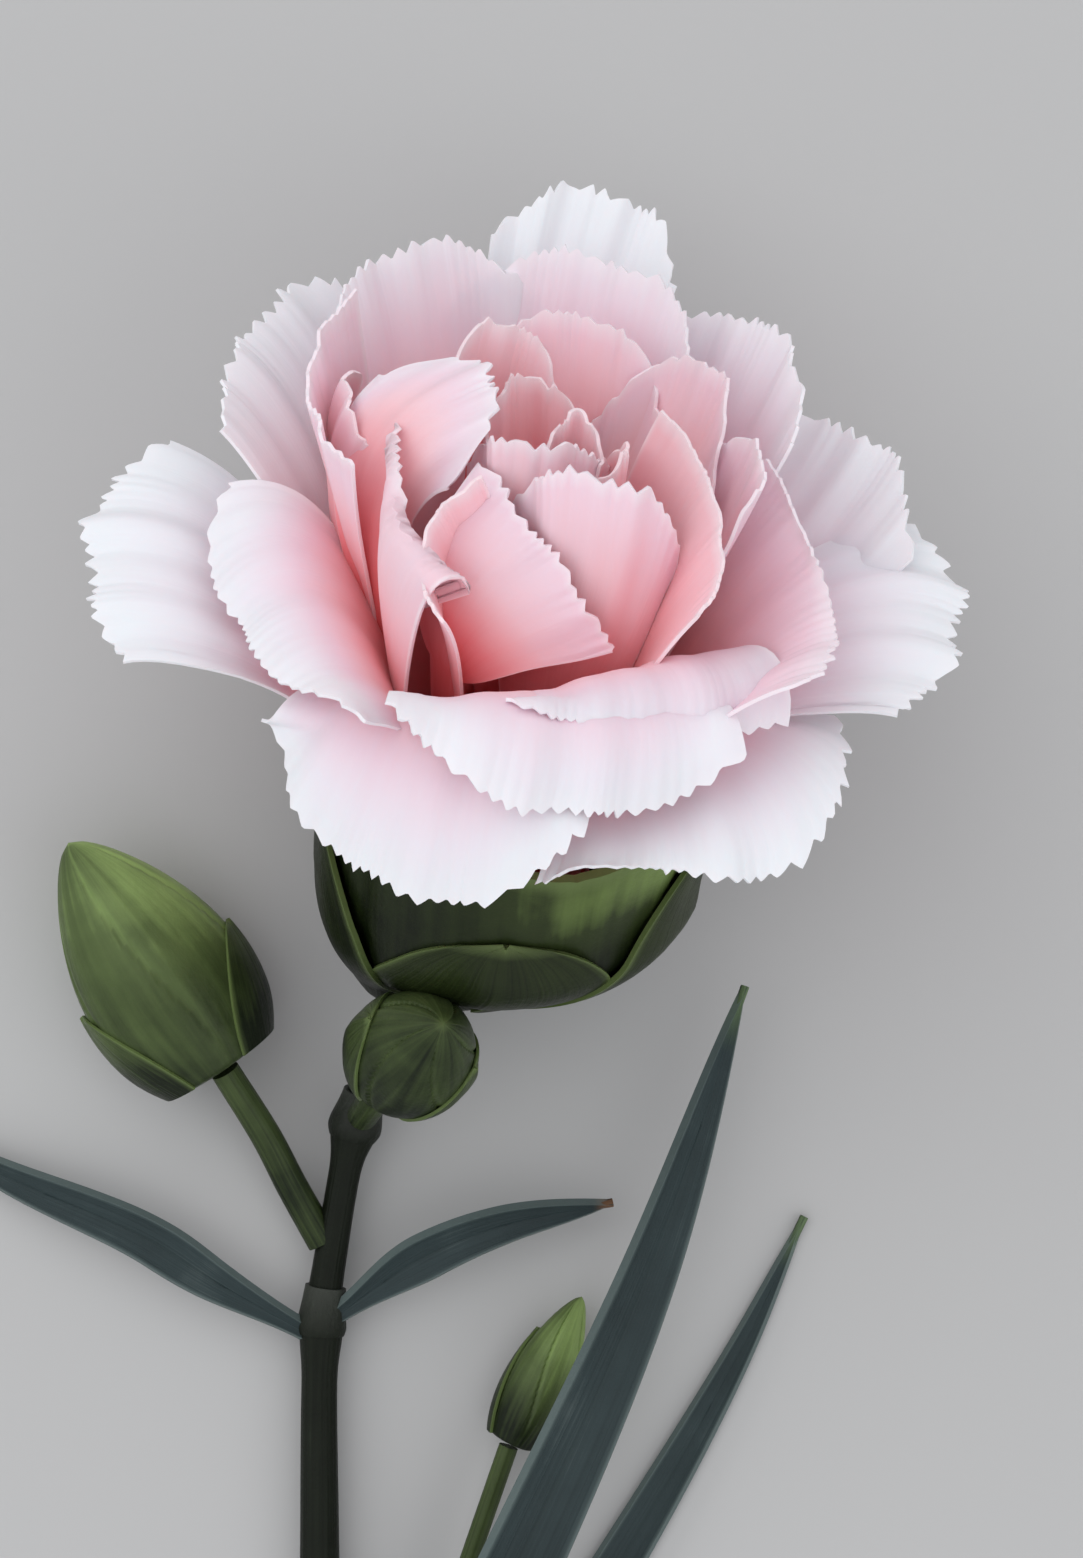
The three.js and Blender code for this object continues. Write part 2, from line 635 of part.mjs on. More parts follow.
// the bud stands before the camera side of the calyx's wall and moves out with it
const calyxFront = calyxRadius * Math.sin(rad(bloomElevation)) * Math.cos(rad(bloomLean));
const frontBudBase = new THREE.Vector3(-3.6, frontBudSetback - calyxFront, 9.5);
const frontBud = budBody(frontBudBase, frontBudAxis, frontBudLength, frontBudRadius);
addMesh('front_bud', makeBud(frontBud), budMaterial());
[20, 200].forEach((azimuth, place) => {
  const bract = { azimuth, halfAngle: 62, from: 0.8, to: 10, offset: bractGap, rows: 4, columns: 5 };
  addMesh(`front_bud_bract_${place + 1}`, bractSolid(frontBud, bract), calyxMaterial());
});
const frontStalkPoints = [0.36, 0.66, 0.93].map((share) => {
  return upperNode.clone().lerp(frontBudBase, share);
});
addMesh('front_bud_stalk', tube(frontStalkPoints, (along) => 1 + 0.3 * along, 3, 8), stemMaterial());

// Large bud on the left

const leftBudBase = new THREE.Vector3(-19.4, -7, -0.8);
const leftBudAxis = new THREE.Vector3(-14, 20.8, 2.6);
const leftBud = budBody(leftBudBase, leftBudAxis, leftBudLength, leftBudRadius);
addMesh('left_bud', makeBud(leftBud, 14, 9), budMaterial());
[0, 180].forEach((azimuth, place) => {
  const bract = { azimuth, halfAngle: 58, from: 0.8, to: 13, offset: bractGap, rows: 5, columns: 5 };
  addMesh(`left_bud_bract_${place + 1}`, bractSolid(leftBud, bract), calyxMaterial());
});
const leftStalkPoints = [
  besideStem(budJoint, -1, 1.3, 1.8, -0.1),
  new THREE.Vector3(-13.3, -18.1, -4.3),
  new THREE.Vector3(-15.6, -13.4, -2.9),
  leftBudBase.clone().addScaledVector(leftBudAxis.clone().normalize(), -stalkGap),
];
addMesh('left_bud_stalk', tube(leftStalkPoints, (along) => 1 + 0.35 * along, 8, 8), stemMaterial());

// Low shoot behind the tall leaf

const shootBase = new THREE.Vector3(6.6, -41.6, -4.6);
const shootAxis = new THREE.Vector3(6.6, 13.5, 0.4);
const shootBud = budBody(shootBase, shootAxis, shootBudLength, shootBudRadius);
addMesh('shoot_bud', makeBud(shootBud, 10, 6), budMaterial());
const shootStalkStart = besideStem(lowNode, 1, 0.9, 2.4, -0.5);
const shootStalkEnd = shootBase.clone().addScaledVector(shootAxis.clone().normalize(), -stalkGap);
const shootStalkMiddle = onTheWay(shootStalkStart, shootStalkEnd, 0.42, -0.7);
const shootStalkPoints = [shootStalkStart, shootStalkMiddle, shootStalkEnd];
addMesh('shoot_stalk', tube(shootStalkPoints, () => 0.9, 10, 8), stemMaterial());

leaves.forEach(({ name, points, width, roll, rows }) => {
  addMesh(name, sheetSolid(leafGrid(points, width, roll, rows), leafThickness), leafMaterial());
});

// Stand the lowest point on Z 0 and the middle of the footprint on the origin

const bounds = new THREE.Box3().setFromObject(group);
const middle = bounds.getCenter(new THREE.Vector3());
group.position.set(-middle.x, -middle.y, -bounds.min.z);

export default group;
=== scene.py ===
# A cut carnation lying on a pale table, seen from straight above.
# Lengths are millimetres and angles degrees; toScene turns them into Blender's metres.

import math

import bpy
import numpy as np
from mathutils import Matrix, Vector


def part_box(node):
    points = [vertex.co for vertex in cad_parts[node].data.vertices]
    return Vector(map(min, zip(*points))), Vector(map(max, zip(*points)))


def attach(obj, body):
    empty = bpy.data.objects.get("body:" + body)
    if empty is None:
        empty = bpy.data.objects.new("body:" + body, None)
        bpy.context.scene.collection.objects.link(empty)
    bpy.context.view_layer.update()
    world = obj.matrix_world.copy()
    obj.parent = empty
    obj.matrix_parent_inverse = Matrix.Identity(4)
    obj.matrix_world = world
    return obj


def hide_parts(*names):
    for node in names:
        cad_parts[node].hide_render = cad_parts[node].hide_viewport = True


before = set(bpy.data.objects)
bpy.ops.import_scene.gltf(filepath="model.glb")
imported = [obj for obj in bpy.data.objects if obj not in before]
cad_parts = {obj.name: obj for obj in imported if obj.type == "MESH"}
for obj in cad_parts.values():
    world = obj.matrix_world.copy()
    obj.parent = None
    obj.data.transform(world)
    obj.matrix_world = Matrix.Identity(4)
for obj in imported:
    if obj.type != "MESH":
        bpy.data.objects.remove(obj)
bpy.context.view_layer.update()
bpy.ops.object.select_all(action="DESELECT")
print("frame loaded,", len(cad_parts), "nodes")


# Small helpers

def smooth(value):
    x = np.clip(value, 0, 1)
    return x * x * (3 - 2 * x)


def blendTo(a, b, share):
    return a + (b - a) * share


def scatter(number, seed=0.0):
    # steady pretend-random values from 0 to 1, the same on every run
    wild = np.sin(number * 12.9898 + seed * 78.233) * 43758.5453
    return wild - np.floor(wild)


def unit(vectors):
    return vectors / np.maximum(np.linalg.norm(vectors, axis=-1, keepdims=True), 1e-9)


# Where the flower stands: its own axis runs up through the bloom

flower = {
    "elevation": 38,  # the axis rises this much from the table
    "lean": 5,  # and leans this much to the right
    "foot": (6.6, 0.0, 0.0),
    "restHeight": 8,  # foot above the table
}
tableLevel = -flower["restHeight"]
flowerTurn = np.array(
    Matrix.Rotation(math.radians(-flower["lean"]), 3, "Z")
    @ Matrix.Rotation(math.radians(flower["elevation"] - 90), 3, "X")
)


def fromFlower(points):
    return points @ flowerTurn.T + np.array(flower["foot"])


def polar(azimuth, radius, height, shift=0.0):
    angle = np.radians(azimuth)
    x = radius * np.cos(angle) + shift
    y = radius * np.sin(angle)
    return np.stack(np.broadcast_arrays(x, y, height), -1).astype(float)


calyx = {
    "height": 28,
    "radius": 16.8,
    "wall": 0.9,
    "skew": 8,  # the base sits this much to the left of the mouth
    "dent": 4.2,  # hollow where the front bud presses on it
    "receptacle": 6.4,
    "toothDepth": 2.2,
    "sepalAngle": 72,  # five sepals share the round
}
# the CAD cup is laid out on this many corners and rings
calyxFacets = {"around": 20, "rings": 8, "crowding": 1.25}


def calyxReach(height, azimuth):
    share = np.clip((height + 0.9) / 16, 0, 1)
    belly = calyx["radius"] * (0.13 + 0.87 * np.sin(share * math.pi / 2) ** 0.95)
    dent = np.exp(-((azimuth - 260) / 38) ** 2 - ((height - 3) / 5.5) ** 2)
    return belly - calyx["dent"] * dent * np.minimum(belly / 9, 1) ** 2


def calyxShift(height):
    return -calyx["skew"] * np.clip(1 - height / 14, 0, 1.2) ** 1.5


def onCalyx(azimuth, height, offset=0.0):
    reach = np.maximum(calyxReach(height, azimuth) + offset, 0.02)
    return fromFlower(polar(azimuth, reach, height, calyxShift(height)))


def calyxCorners():
    # the CAD calyx's box in flower lengths, which says where the frame put the flower
    rounds = np.arange(calyxFacets["around"]) * 360.0 / calyxFacets["around"]
    rings = (np.arange(calyxFacets["rings"]) / (calyxFacets["rings"] - 1)) ** calyxFacets["crowding"]
    azimuth, share = np.meshgrid(rounds, rings)
    tooth = np.abs((azimuth / calyx["sepalAngle"]) % 1 - 0.5) * 2
    height = blendTo(0.4, calyx["height"] - calyx["toothDepth"] * tooth, share)
    both = [onCalyx(azimuth, height), onCalyx(azimuth, height, -calyx["wall"])]
    corners = np.concatenate([b.reshape(-1, 3) for b in both])
    return corners.min(0), corners.max(0)


calyxLow, calyxHigh = calyxCorners()
packedLow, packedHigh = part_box("calyx")
flowerPlace = (np.array(packedLow) + np.array(packedHigh)) / 2 - (calyxLow + calyxHigh) / 2000
print("flower placed at", np.round(flowerPlace * 1000, 2), "mm")


def toScene(points):
    return points * 0.001 + flowerPlace


# Mesh tools

def layGrid(name, columns, rows, shape, marks=None):
    # a grid primitive whose points are laid where shape says; marks become point attributes
    bpy.ops.object.select_all(action="DESELECT")
    bpy.ops.mesh.primitive_grid_add(x_subdivisions=columns, y_subdivisions=rows, size=2, calc_uvs=True)
    piece = bpy.context.active_object
    piece.name = name
    piece.data.name = name
    spots = np.zeros(len(piece.data.vertices) * 3)
    piece.data.vertices.foreach_get("co", spots)
    spots = spots.reshape(-1, 3)
    across = spots[:, 0]
    along = (spots[:, 1] + 1) / 2
    points = toScene(shape(across, along))
    piece.data.vertices.foreach_set("co", points.ravel())
    for mark, value in (marks or {}).items():
        layer = piece.data.attributes.new(mark, "FLOAT", "POINT")
        layer.data.foreach_set("value", value(across, along).astype(np.float32))
    piece.data.update()
    return piece


def closeShell(piece):
    # welds the seam and the poles of a grid that was wrapped round
    bpy.ops.object.select_all(action="DESELECT")
    piece.select_set(True)
    bpy.context.view_layer.objects.active = piece
    bpy.ops.object.mode_set(mode="EDIT")
    bpy.ops.mesh.select_all(action="SELECT")
    bpy.ops.mesh.remove_doubles(threshold=0.000004)
    bpy.ops.mesh.dissolve_degenerate(threshold=0.000002)
    bpy.ops.mesh.normals_make_consistent(inside=False)
    bpy.ops.object.mode_set(mode="OBJECT")


def applyModifier(piece, kind, **settings):
    bpy.ops.object.select_all(action="DESELECT")
    piece.select_set(True)
    bpy.context.view_layer.objects.active = piece
    modifier = piece.modifiers.new(kind.lower(), kind)
    for key, value in settings.items():
        setattr(modifier, key, value)
    bpy.ops.object.modifier_apply(modifier=modifier.name)


def shadeSmooth(piece, angle=50):
    bpy.ops.object.select_all(action="DESELECT")
    piece.select_set(True)
    bpy.context.view_layer.objects.active = piece
    bpy.ops.object.shade_smooth_by_angle(angle=math.radians(angle))


def settle(piece, node, material):
    # the finished piece stands for its CAD node and takes its finish
    piece.data.materials.clear()
    piece.data.materials.append(material)
    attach(piece, "root")
    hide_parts(node)


def smoothPath(points, perSpan=40):
    # centripetal spline through the points
    stations = [np.array(p, float) for p in points]
    stations = [2 * stations[0] - stations[1]] + stations + [2 * stations[-1] - stations[-2]]
    path = []
    for a, b, c, d in zip(stations, stations[1:], stations[2:], stations[3:]):
        ab = np.linalg.norm(b - a) ** 0.5
        bc = np.linalg.norm(c - b) ** 0.5
        cd = np.linalg.norm(d - c) ** 0.5
        leave = ((b - a) / ab - (c - a) / (ab + bc) + (c - b) / bc) * bc
        arrive = ((c - b) / bc - (d - b) / (bc + cd) + (d - c) / cd) * bc
        t = np.linspace(0, 1, perSpan, endpoint=False)[:, None]
        path.append((2 * t**3 - 3 * t**2 + 1) * b + (t**3 - 2 * t**2 + t) * leave
                    + (3 * t**2 - 2 * t**3) * c + (t**3 - t**2) * arrive)
    path.append(stations[-2][None])
    return np.concatenate(path)


def walkPath(path, places):
    # points and directions at shares of the path's length, straight on past its end
    steps = np.linalg.norm(np.diff(path, axis=0), axis=1)
    length = np.concatenate([[0], np.cumsum(steps)])
    headings = unit(np.gradient(path, length, axis=0))
    goal = np.clip(places, 0, 1) * length[-1]
    centre = np.stack([np.interp(goal, length, path[:, k]) for k in range(3)], -1)
    heading = unit(np.stack([np.interp(goal, length, headings[:, k]) for k in range(3)], -1))
    beyond = (places - np.clip(places, 0, 1)) * length[-1]
    return centre + heading * beyond[..., None], heading


def pathLength(path):
    return np.linalg.norm(np.diff(path, axis=0), axis=1).sum()


def layOnTable(points, level, softness=1.5):
    # what would go below the table lies flat on it, with a soft bend
    height = points[..., 2] - level
    bend = np.maximum(height + softness, 0)
    low = level + bend**2 / (4 * softness)
    points[..., 2] = np.where(height > softness, points[..., 2], low)
    return points


# Shading tools

class Wire:
    # wraps an output socket, so that sums on sockets read like sums on numbers
    def __init__(self, paint, socket):
        self.paint = paint
        self.socket = socket

    def sum(self, operation, *values):
        inputs = dict(enumerate(values))
        return self.paint.node("ShaderNodeMath", {"operation": operation}, inputs)

    def __add__(self, other):
        return self.sum("ADD", self, other)

    __radd__ = __add__

    def __sub__(self, other):
        return self.sum("SUBTRACT", self, other)

    def __rsub__(self, other):
        return self.sum("SUBTRACT", other, self)

    def __mul__(self, other):
        return self.sum("MULTIPLY", self, other)

    __rmul__ = __mul__

    def clamped(self):
        return self.paint.node("ShaderNodeClamp", {}, {"Value": self})


class Paint:
    def __init__(self, name):
        self.material = bpy.data.materials.new(name)
        self.material.use_nodes = True
        self.tree = self.material.node_tree
        self.tree.nodes.clear()

    def node(self, kind, settings, inputs, output=0):
        made = self.tree.nodes.new(kind)
        for key, value in settings.items():
            if key == "stops":
                self.setStops(made.color_ramp, value)
            else:
                setattr(made, key, value)
        for key, value in inputs.items():
            if isinstance(value, Wire):
                self.tree.links.new(value.socket, made.inputs[key])
            else:
                made.inputs[key].default_value = value
        return Wire(self, made.outputs[output]) if made.outputs else None

    def setStops(self, ramp, stops):
        while len(ramp.elements) > 1:
            ramp.elements.remove(ramp.elements[-1])
        for place, (position, colour) in enumerate(stops):
            element = ramp.elements[0] if place == 0 else ramp.elements.new(position)
            element.position = position
            element.color = (*colour, 1) if len(colour) == 3 else colour

    def mark(self, name):
        return self.node("ShaderNodeAttribute", {"attribute_name": name}, {}, "Fac")

    def where(self, source, scale=(1, 1, 1)):
        spot = self.node("ShaderNodeTexCoord", {}, {}, source)
        return self.node("ShaderNodeMapping", {}, {"Vector": spot, "Scale": scale})

    def noise(self, vector, scale, detail=3, roughness=0.5):
        inputs = {"Vector": vector, "Scale": scale, "Detail": detail, "Roughness": roughness}
        return self.node("ShaderNodeTexNoise", {}, inputs, "Fac")

    def colours(self, share, stops):
        return self.node("ShaderNodeValToRGB", {"stops": stops}, {"Fac": share}, "Color")

    def mix(self, share, first, second):
        first, second = [c if isinstance(c, Wire) else (*c, 1) for c in (first, second)]
        inputs = {0: share, 6: first, 7: second}
        settings = {"data_type": "RGBA", "clamp_factor": True}
        return self.node("ShaderNodeMix", settings, inputs, 2)

    def bump(self, height, strength, distance):
        inputs = {"Height": height, "Strength": strength, "Distance": distance}
        return self.node("ShaderNodeBump", {}, inputs)

    def finish(self, **looks):
        names = {key.replace("_", " "): value for key, value in looks.items()}
        skin = self.node("ShaderNodeBsdfPrincipled", {}, names)
        self.node("ShaderNodeOutputMaterial", {}, {"Surface": skin})
        return self.material


# Petals
# foot is (azimuth, radius) on the receptacle; knee and tip are (azimuth, radius, height) up the
# flower's axis. lift is how far the claw rises straight up, face the azimuth its outer side looks to.
# pink runs from the claw to the margin: 1 is deep coral, 0 is near white.

petalLook = {
    "claw": 20, "corner": 0.3, "tilt": 0,
    "wave": 0.7, "waves": 3, "toothDepth": 0.85, "toothPitch": 1.45,
    "pink": (1.0, 0.8, 0.5, 0.3),
}
petals = {
    "front_flap": {"foot": (232, 5), "lift": 33, "knee": (227.5, 18.6, 45.3), "tip": (271.2, 9, 54.7),
        "face": 236, "tilt": -41, "width": 20.1, "claw": 36, "corner": 0.05, "cup": (40, 40),
        "pink": (1, 0.8, 0.42, 0.3), "wave": 0.25, "toothDepth": 0.7},
    "front_inner": {"foot": (285, 3.6), "lift": 15, "knee": (288, 10.9, 44.2), "tip": (293.3, 8.1, 61.2),
        "face": 263, "width": 19.3, "claw": 25, "cup": (60, 70), "pink": (1, 0.85, 0.48, 0.3),
        "wave": 0.5},
    "front_core": {"foot": (262, 2), "lift": 15, "knee": (257, 5.1, 45.9), "tip": (251.4, 3.1, 61),
        "face": 275, "width": 14.7, "claw": 25, "corner": 0.13, "cup": (60, 70),
        "pink": (1, 0.9, 0.6, 0.36), "wave": 0.5},
    "centre_curl": {"foot": (60, 1.6), "lift": 15, "knee": (60, 3, 48), "tip": (45, 2.2, 61.5),
        "face": 90, "width": 10, "claw": 29, "cup": (90, 140), "pink": (1, 0.9, 0.66, 0.45), "wave": 0.5},
    "left_inner": {"foot": (190, 4.6), "lift": 29, "knee": (186.7, 26.5, 55.5), "tip": (159.9, 6.3, 64),
        "face": 233, "tilt": 5, "width": 13, "claw": 37, "corner": 0.34, "cup": (40, 30),
        "pink": (1, 0.85, 0.55, 0.2), "wave": 0.4, "toothDepth": 1},
    "left_edge": {"foot": (208, 5), "lift": 15, "knee": (197.4, 17.8, 57.6), "tip": (201.5, 13.6, 58.1),
        "face": 175, "tilt": -37, "width": 23.6, "corner": 0, "cup": (60, 70),
        "pink": (1, 0.85, 0.5, 0.36), "wave": 0.25, "toothDepth": 0.5},
    "left_strip": {"foot": (214, 3.2), "lift": 15, "knee": (222.7, 7.9, 46.3), "tip": (226.7, 14.7, 55.7),
        "face": 171, "tilt": -34, "width": 15.2, "corner": 0, "cup": (60, 60),
        "pink": (1, 0.95, 0.75, 0.45), "wave": 0.25, "toothDepth": 0.4},
    "right_inner": {"foot": (335, 4.8), "lift": 15, "knee": (346.5, 6.8, 42.8),
        "tip": (334.4, 15.3, 58.1), "face": 4, "tilt": 42, "width": 21.5, "corner": 0, "cup": (60, 40),
        "pink": (1, 0.85, 0.6, 0.46), "wave": 0.25, "toothDepth": 0.35},
    "back_core": {"foot": (112, 2.8), "lift": 15, "knee": (112, 6, 46), "tip": (115, 8, 61), "face": 120,
        "width": 13, "cup": (60, 70), "pink": (1, 1, 0.85, 0.5), "wave": 0.5},
    "right_core": {"foot": (345, 2.4), "lift": 15, "knee": (340, 6, 46), "tip": (345, 6, 60), "width": 10,
        "claw": 25, "cup": (80, 110), "pink": (1, 1, 0.85, 0.5), "wave": 0.4},
    "back_left_inner": {"foot": (138, 4.6), "lift": 15, "knee": (133.7, 12.1, 46.5),
        "tip": (111.5, 14.2, 62.1), "width": 14, "corner": 0.2, "cup": (60, 60),
        "pink": (1, 1, 0.8, 0.42), "wave": 0.4, "toothDepth": 0.6},
    "left_folded": {"foot": (162, 5), "lift": 15, "knee": (164.8, 24.2, 45.6), "tip": (167.9, 17.9, 59.1),
        "face": 198, "tilt": -20, "width": 15, "corner": 0.09, "cup": (60, 60),
        "pink": (1, 0.95, 0.7, 0.4), "wave": 0.4, "toothDepth": 0.5},
    "left_upright": {"foot": (163, 6.6), "lift": 15, "knee": (155.8, 19.2, 44.3),
        "tip": (168.1, 21.4, 60.4), "face": 188, "tilt": -21, "width": 22, "corner": 0, "cup": (50, 40),
        "pink": (1, 0.9, 0.6, 0.28), "wave": 0.4, "toothDepth": 0.5},
    "back_inner": {"foot": (88, 4.8), "lift": 15, "knee": (84.6, 12, 46), "tip": (87.6, 17.5, 61.1),
        "face": 83, "width": 18, "corner": 0.2, "cup": (60, 40), "pink": (1, 0.95, 0.62, 0.34),
        "wave": 0.5, "toothDepth": 0.7},
    "back_right_inner": {"foot": (48, 4.8), "lift": 15, "knee": (45, 13, 46), "tip": (42, 16.5, 61),
        "width": 17, "cup": (60, 50), "pink": (1, 0.95, 0.6, 0.32), "wave": 0.5, "toothDepth": 0.7},
    "right_folded": {"foot": (8, 4.8), "lift": 15, "knee": (6, 13, 44), "tip": (6, 17, 59), "tilt": 15,
        "width": 16, "cup": (60, 40), "pink": (1, 0.8, 0.48, 0.26), "wave": 0.4, "toothDepth": 0.7},
    "lower_right_short": {"foot": (300, 5.4), "lift": 36, "knee": (303.7, 18.7, 54.3),
        "tip": (295.1, 22, 46), "face": 299, "width": 24.1, "corner": 0.07, "cup": (50, -5),
        "pink": (1, 0.85, 0.55, 0.16), "wave": 0.4, "toothDepth": 0.6},
    "lower_middle": {"foot": (276, 5.4), "lift": 36, "knee": (283.2, 21.5, 57),
        "tip": (275.8, 26.9, 42.5), "face": 290, "tilt": -8, "width": 28.8, "corner": 0.21,
        "cup": (50, -5), "pink": (1, 0.8, 0.46, 0.05), "wave": 0.6, "toothDepth": 0.9},
    "left_front": {"foot": (222, 6.8), "lift": 34, "knee": (207.4, 20.3, 53.7),
        "tip": (208.2, 26.8, 46.3), "face": 198, "tilt": -8, "width": 29.4, "corner": 0.15,
        "cup": (50, 10), "pink": (1, 0.88, 0.5, 0.05), "wave": 0.4, "toothDepth": 0.6},
    "right_front": {"foot": (338, 6.8), "lift": 22, "knee": (341.2, 21.1, 49.5), "tip": (344.7, 24, 51.4),
        "face": 349, "tilt": 24, "width": 28.2, "corner": 0.04, "cup": (50, 40),
        "pink": (1, 0.75, 0.42, 0.25), "wave": 0.4, "toothDepth": 0.4},
    "back_left": {"foot": (124, 6.6), "lift": 15, "knee": (119.1, 19.9, 47), "tip": (120.2, 29.2, 61.1),
        "face": 125, "tilt": 3, "width": 24, "corner": 0.2, "cup": (50, 40),
        "pink": (1, 0.85, 0.46, 0.14), "wave": 0.6},
    "back_middle": {"foot": (84, 6.6), "lift": 15, "knee": (89.2, 18.2, 46.8), "tip": (84.8, 26.2, 61.6),
        "face": 67, "tilt": -6, "width": 25, "corner": 0.2, "cup": (50, 30),
        "pink": (1, 0.85, 0.46, 0.16), "wave": 0.6},
    "back_right": {"foot": (44, 6.6), "lift": 15, "knee": (47.4, 17.9, 46), "tip": (47.5, 26.1, 59.9),
        "face": 33, "tilt": -6, "width": 24, "corner": 0.2, "cup": (50, 30), "pink": (1, 0.75, 0.36, 0.1),
        "wave": 0.6, "toothDepth": 1},
    "outer_lower_left": {"foot": (242, 7.6), "lift": 34, "knee": (252.1, 23.9, 54.6),
        "tip": (246.4, 27.9, 33.1), "width": 30.4, "cup": (50, -20), "pink": (0.95, 0.65, 0.36, 0.02),
        "wave": 0.7, "toothDepth": 0.9},
    "outer_lower_right": {"foot": (318, 8.2), "lift": 34, "knee": (311.3, 24.3, 42.1),
        "tip": (305.1, 29.1, 35.3), "face": 299, "tilt": 12, "width": 31, "corner": 0.36,
        "cup": (50, -10), "pink": (0.95, 0.6, 0.26, 0), "wave": 0.7, "toothDepth": 0.9},
    "outer_left": {"foot": (196, 8.4), "lift": 28, "knee": (184.1, 27.7, 50.8), "tip": (182, 38.1, 45.9),
        "tilt": -17, "width": 22.5, "corner": 0.16, "cup": (50, -10), "pink": (0.95, 0.5, 0.14, 0),
        "wave": 0.7, "toothDepth": 1.2},
    "outer_right": {"foot": (358, 7.8), "lift": 26, "knee": (-1.5, 24.4, 50.7), "tip": (-2.1, 34.8, 45.6),
        "face": 4, "tilt": 9, "width": 21.9, "corner": 0.14, "cup": (50, -10),
        "pink": (0.95, 0.55, 0.18, 0), "wave": 0.7, "toothDepth": 1.2},
    "outer_upper_left": {"foot": (148, 8.4), "lift": 18, "knee": (142, 23.4, 50.8),
        "tip": (150.4, 31.3, 56.7), "face": 160, "width": 24, "corner": 0.08, "cup": (50, 15),
        "pink": (0.95, 0.4, 0.1, 0), "wave": 0.7, "toothDepth": 1.1},
    "outer_upper_right": {"foot": (28, 8), "lift": 18, "knee": (23.6, 23.7, 42.9),
        "tip": (28.6, 29.9, 52.7), "face": 33, "tilt": 17, "width": 21, "corner": 0.15, "cup": (50, 15),
        "pink": (0.95, 0.45, 0.12, 0), "wave": 0.6, "toothDepth": 1},
    "outer_top": {"foot": (104, 8.4), "lift": 18, "knee": (91.8, 24.1, 53.9), "tip": (86.8, 37.3, 61.2),
        "face": 92, "tilt": 4, "width": 17, "corner": 0.15, "cup": (50, 15), "pink": (0.95, 0.4, 0.08, 0),
        "wave": 0.7, "toothDepth": 1.2},
    "outer_back_left": {"foot": (126, 8.6), "lift": 18, "knee": (120, 26, 43), "tip": (120, 39, 31),
        "width": 26, "cup": (50, -10), "pink": (0.95, 0.5, 0.2, 0), "wave": 0.7},
    "outer_back_right": {"foot": (64, 8.4), "lift": 18, "knee": (60, 26, 43), "tip": (60, 39, 31),
        "width": 26, "cup": (50, -10), "pink": (0.95, 0.5, 0.2, 0), "wave": 0.7},
}
petalSheet = {"columns": 140, "rows": 48, "clawShare": 0.12, "clawHalfWidth": 1.5, "thickness": 0.3}


def bezierPath(foot, rise, knee, tip):
    t = np.linspace(0, 1, 401)[:, None]
    return ((1 - t) ** 3 * foot + 3 * (1 - t) ** 2 * t * rise
            + 3 * (1 - t) * t**2 * knee + t**3 * tip)


def petalMidrib(petal):
    height = calyx["receptacle"] + 0.5
    foot = polar(petal["foot"][0], petal["foot"][1], height, calyxShift(7))
    rise = foot + np.array([0, 0, petal["lift"]])
    return bezierPath(foot, rise, polar(*petal["knee"]), polar(*petal["tip"]))


def outOnBlade(share):
    claw = petalSheet["clawShare"]
    return np.clip((share - claw) / (1 - claw), 0, 1)


def teethAt(petal, across, seed):
    # the margin's teeth: uneven in width, depth and lean, with fine ribs running into them
    count = petal["width"] * 1.1 / petal["toothPitch"]
    drift = 0.5 * np.sin(across * 5.1 + seed) + 0.3 * np.sin(across * 11.7 + 2 * seed)
    phase = (across + 1) / 2 * count + drift
    number = np.floor(phase)
    part = phase - number
    peak = 0.35 + 0.3 * scatter(number, seed)
    rise = np.where(part < peak, part / peak, (1 - part) / (1 - peak))
    depth = petal["toothDepth"] * (0.45 + 0.55 * scatter(number, seed + 3.1))
    lobes = 0.35 * np.sin(across * 7.3 + seed * 1.7) + 0.25 * np.sin(across * 3.1 + seed)
    return depth * rise + lobes * petal["toothDepth"], np.cos(2 * math.pi * (part - peak))


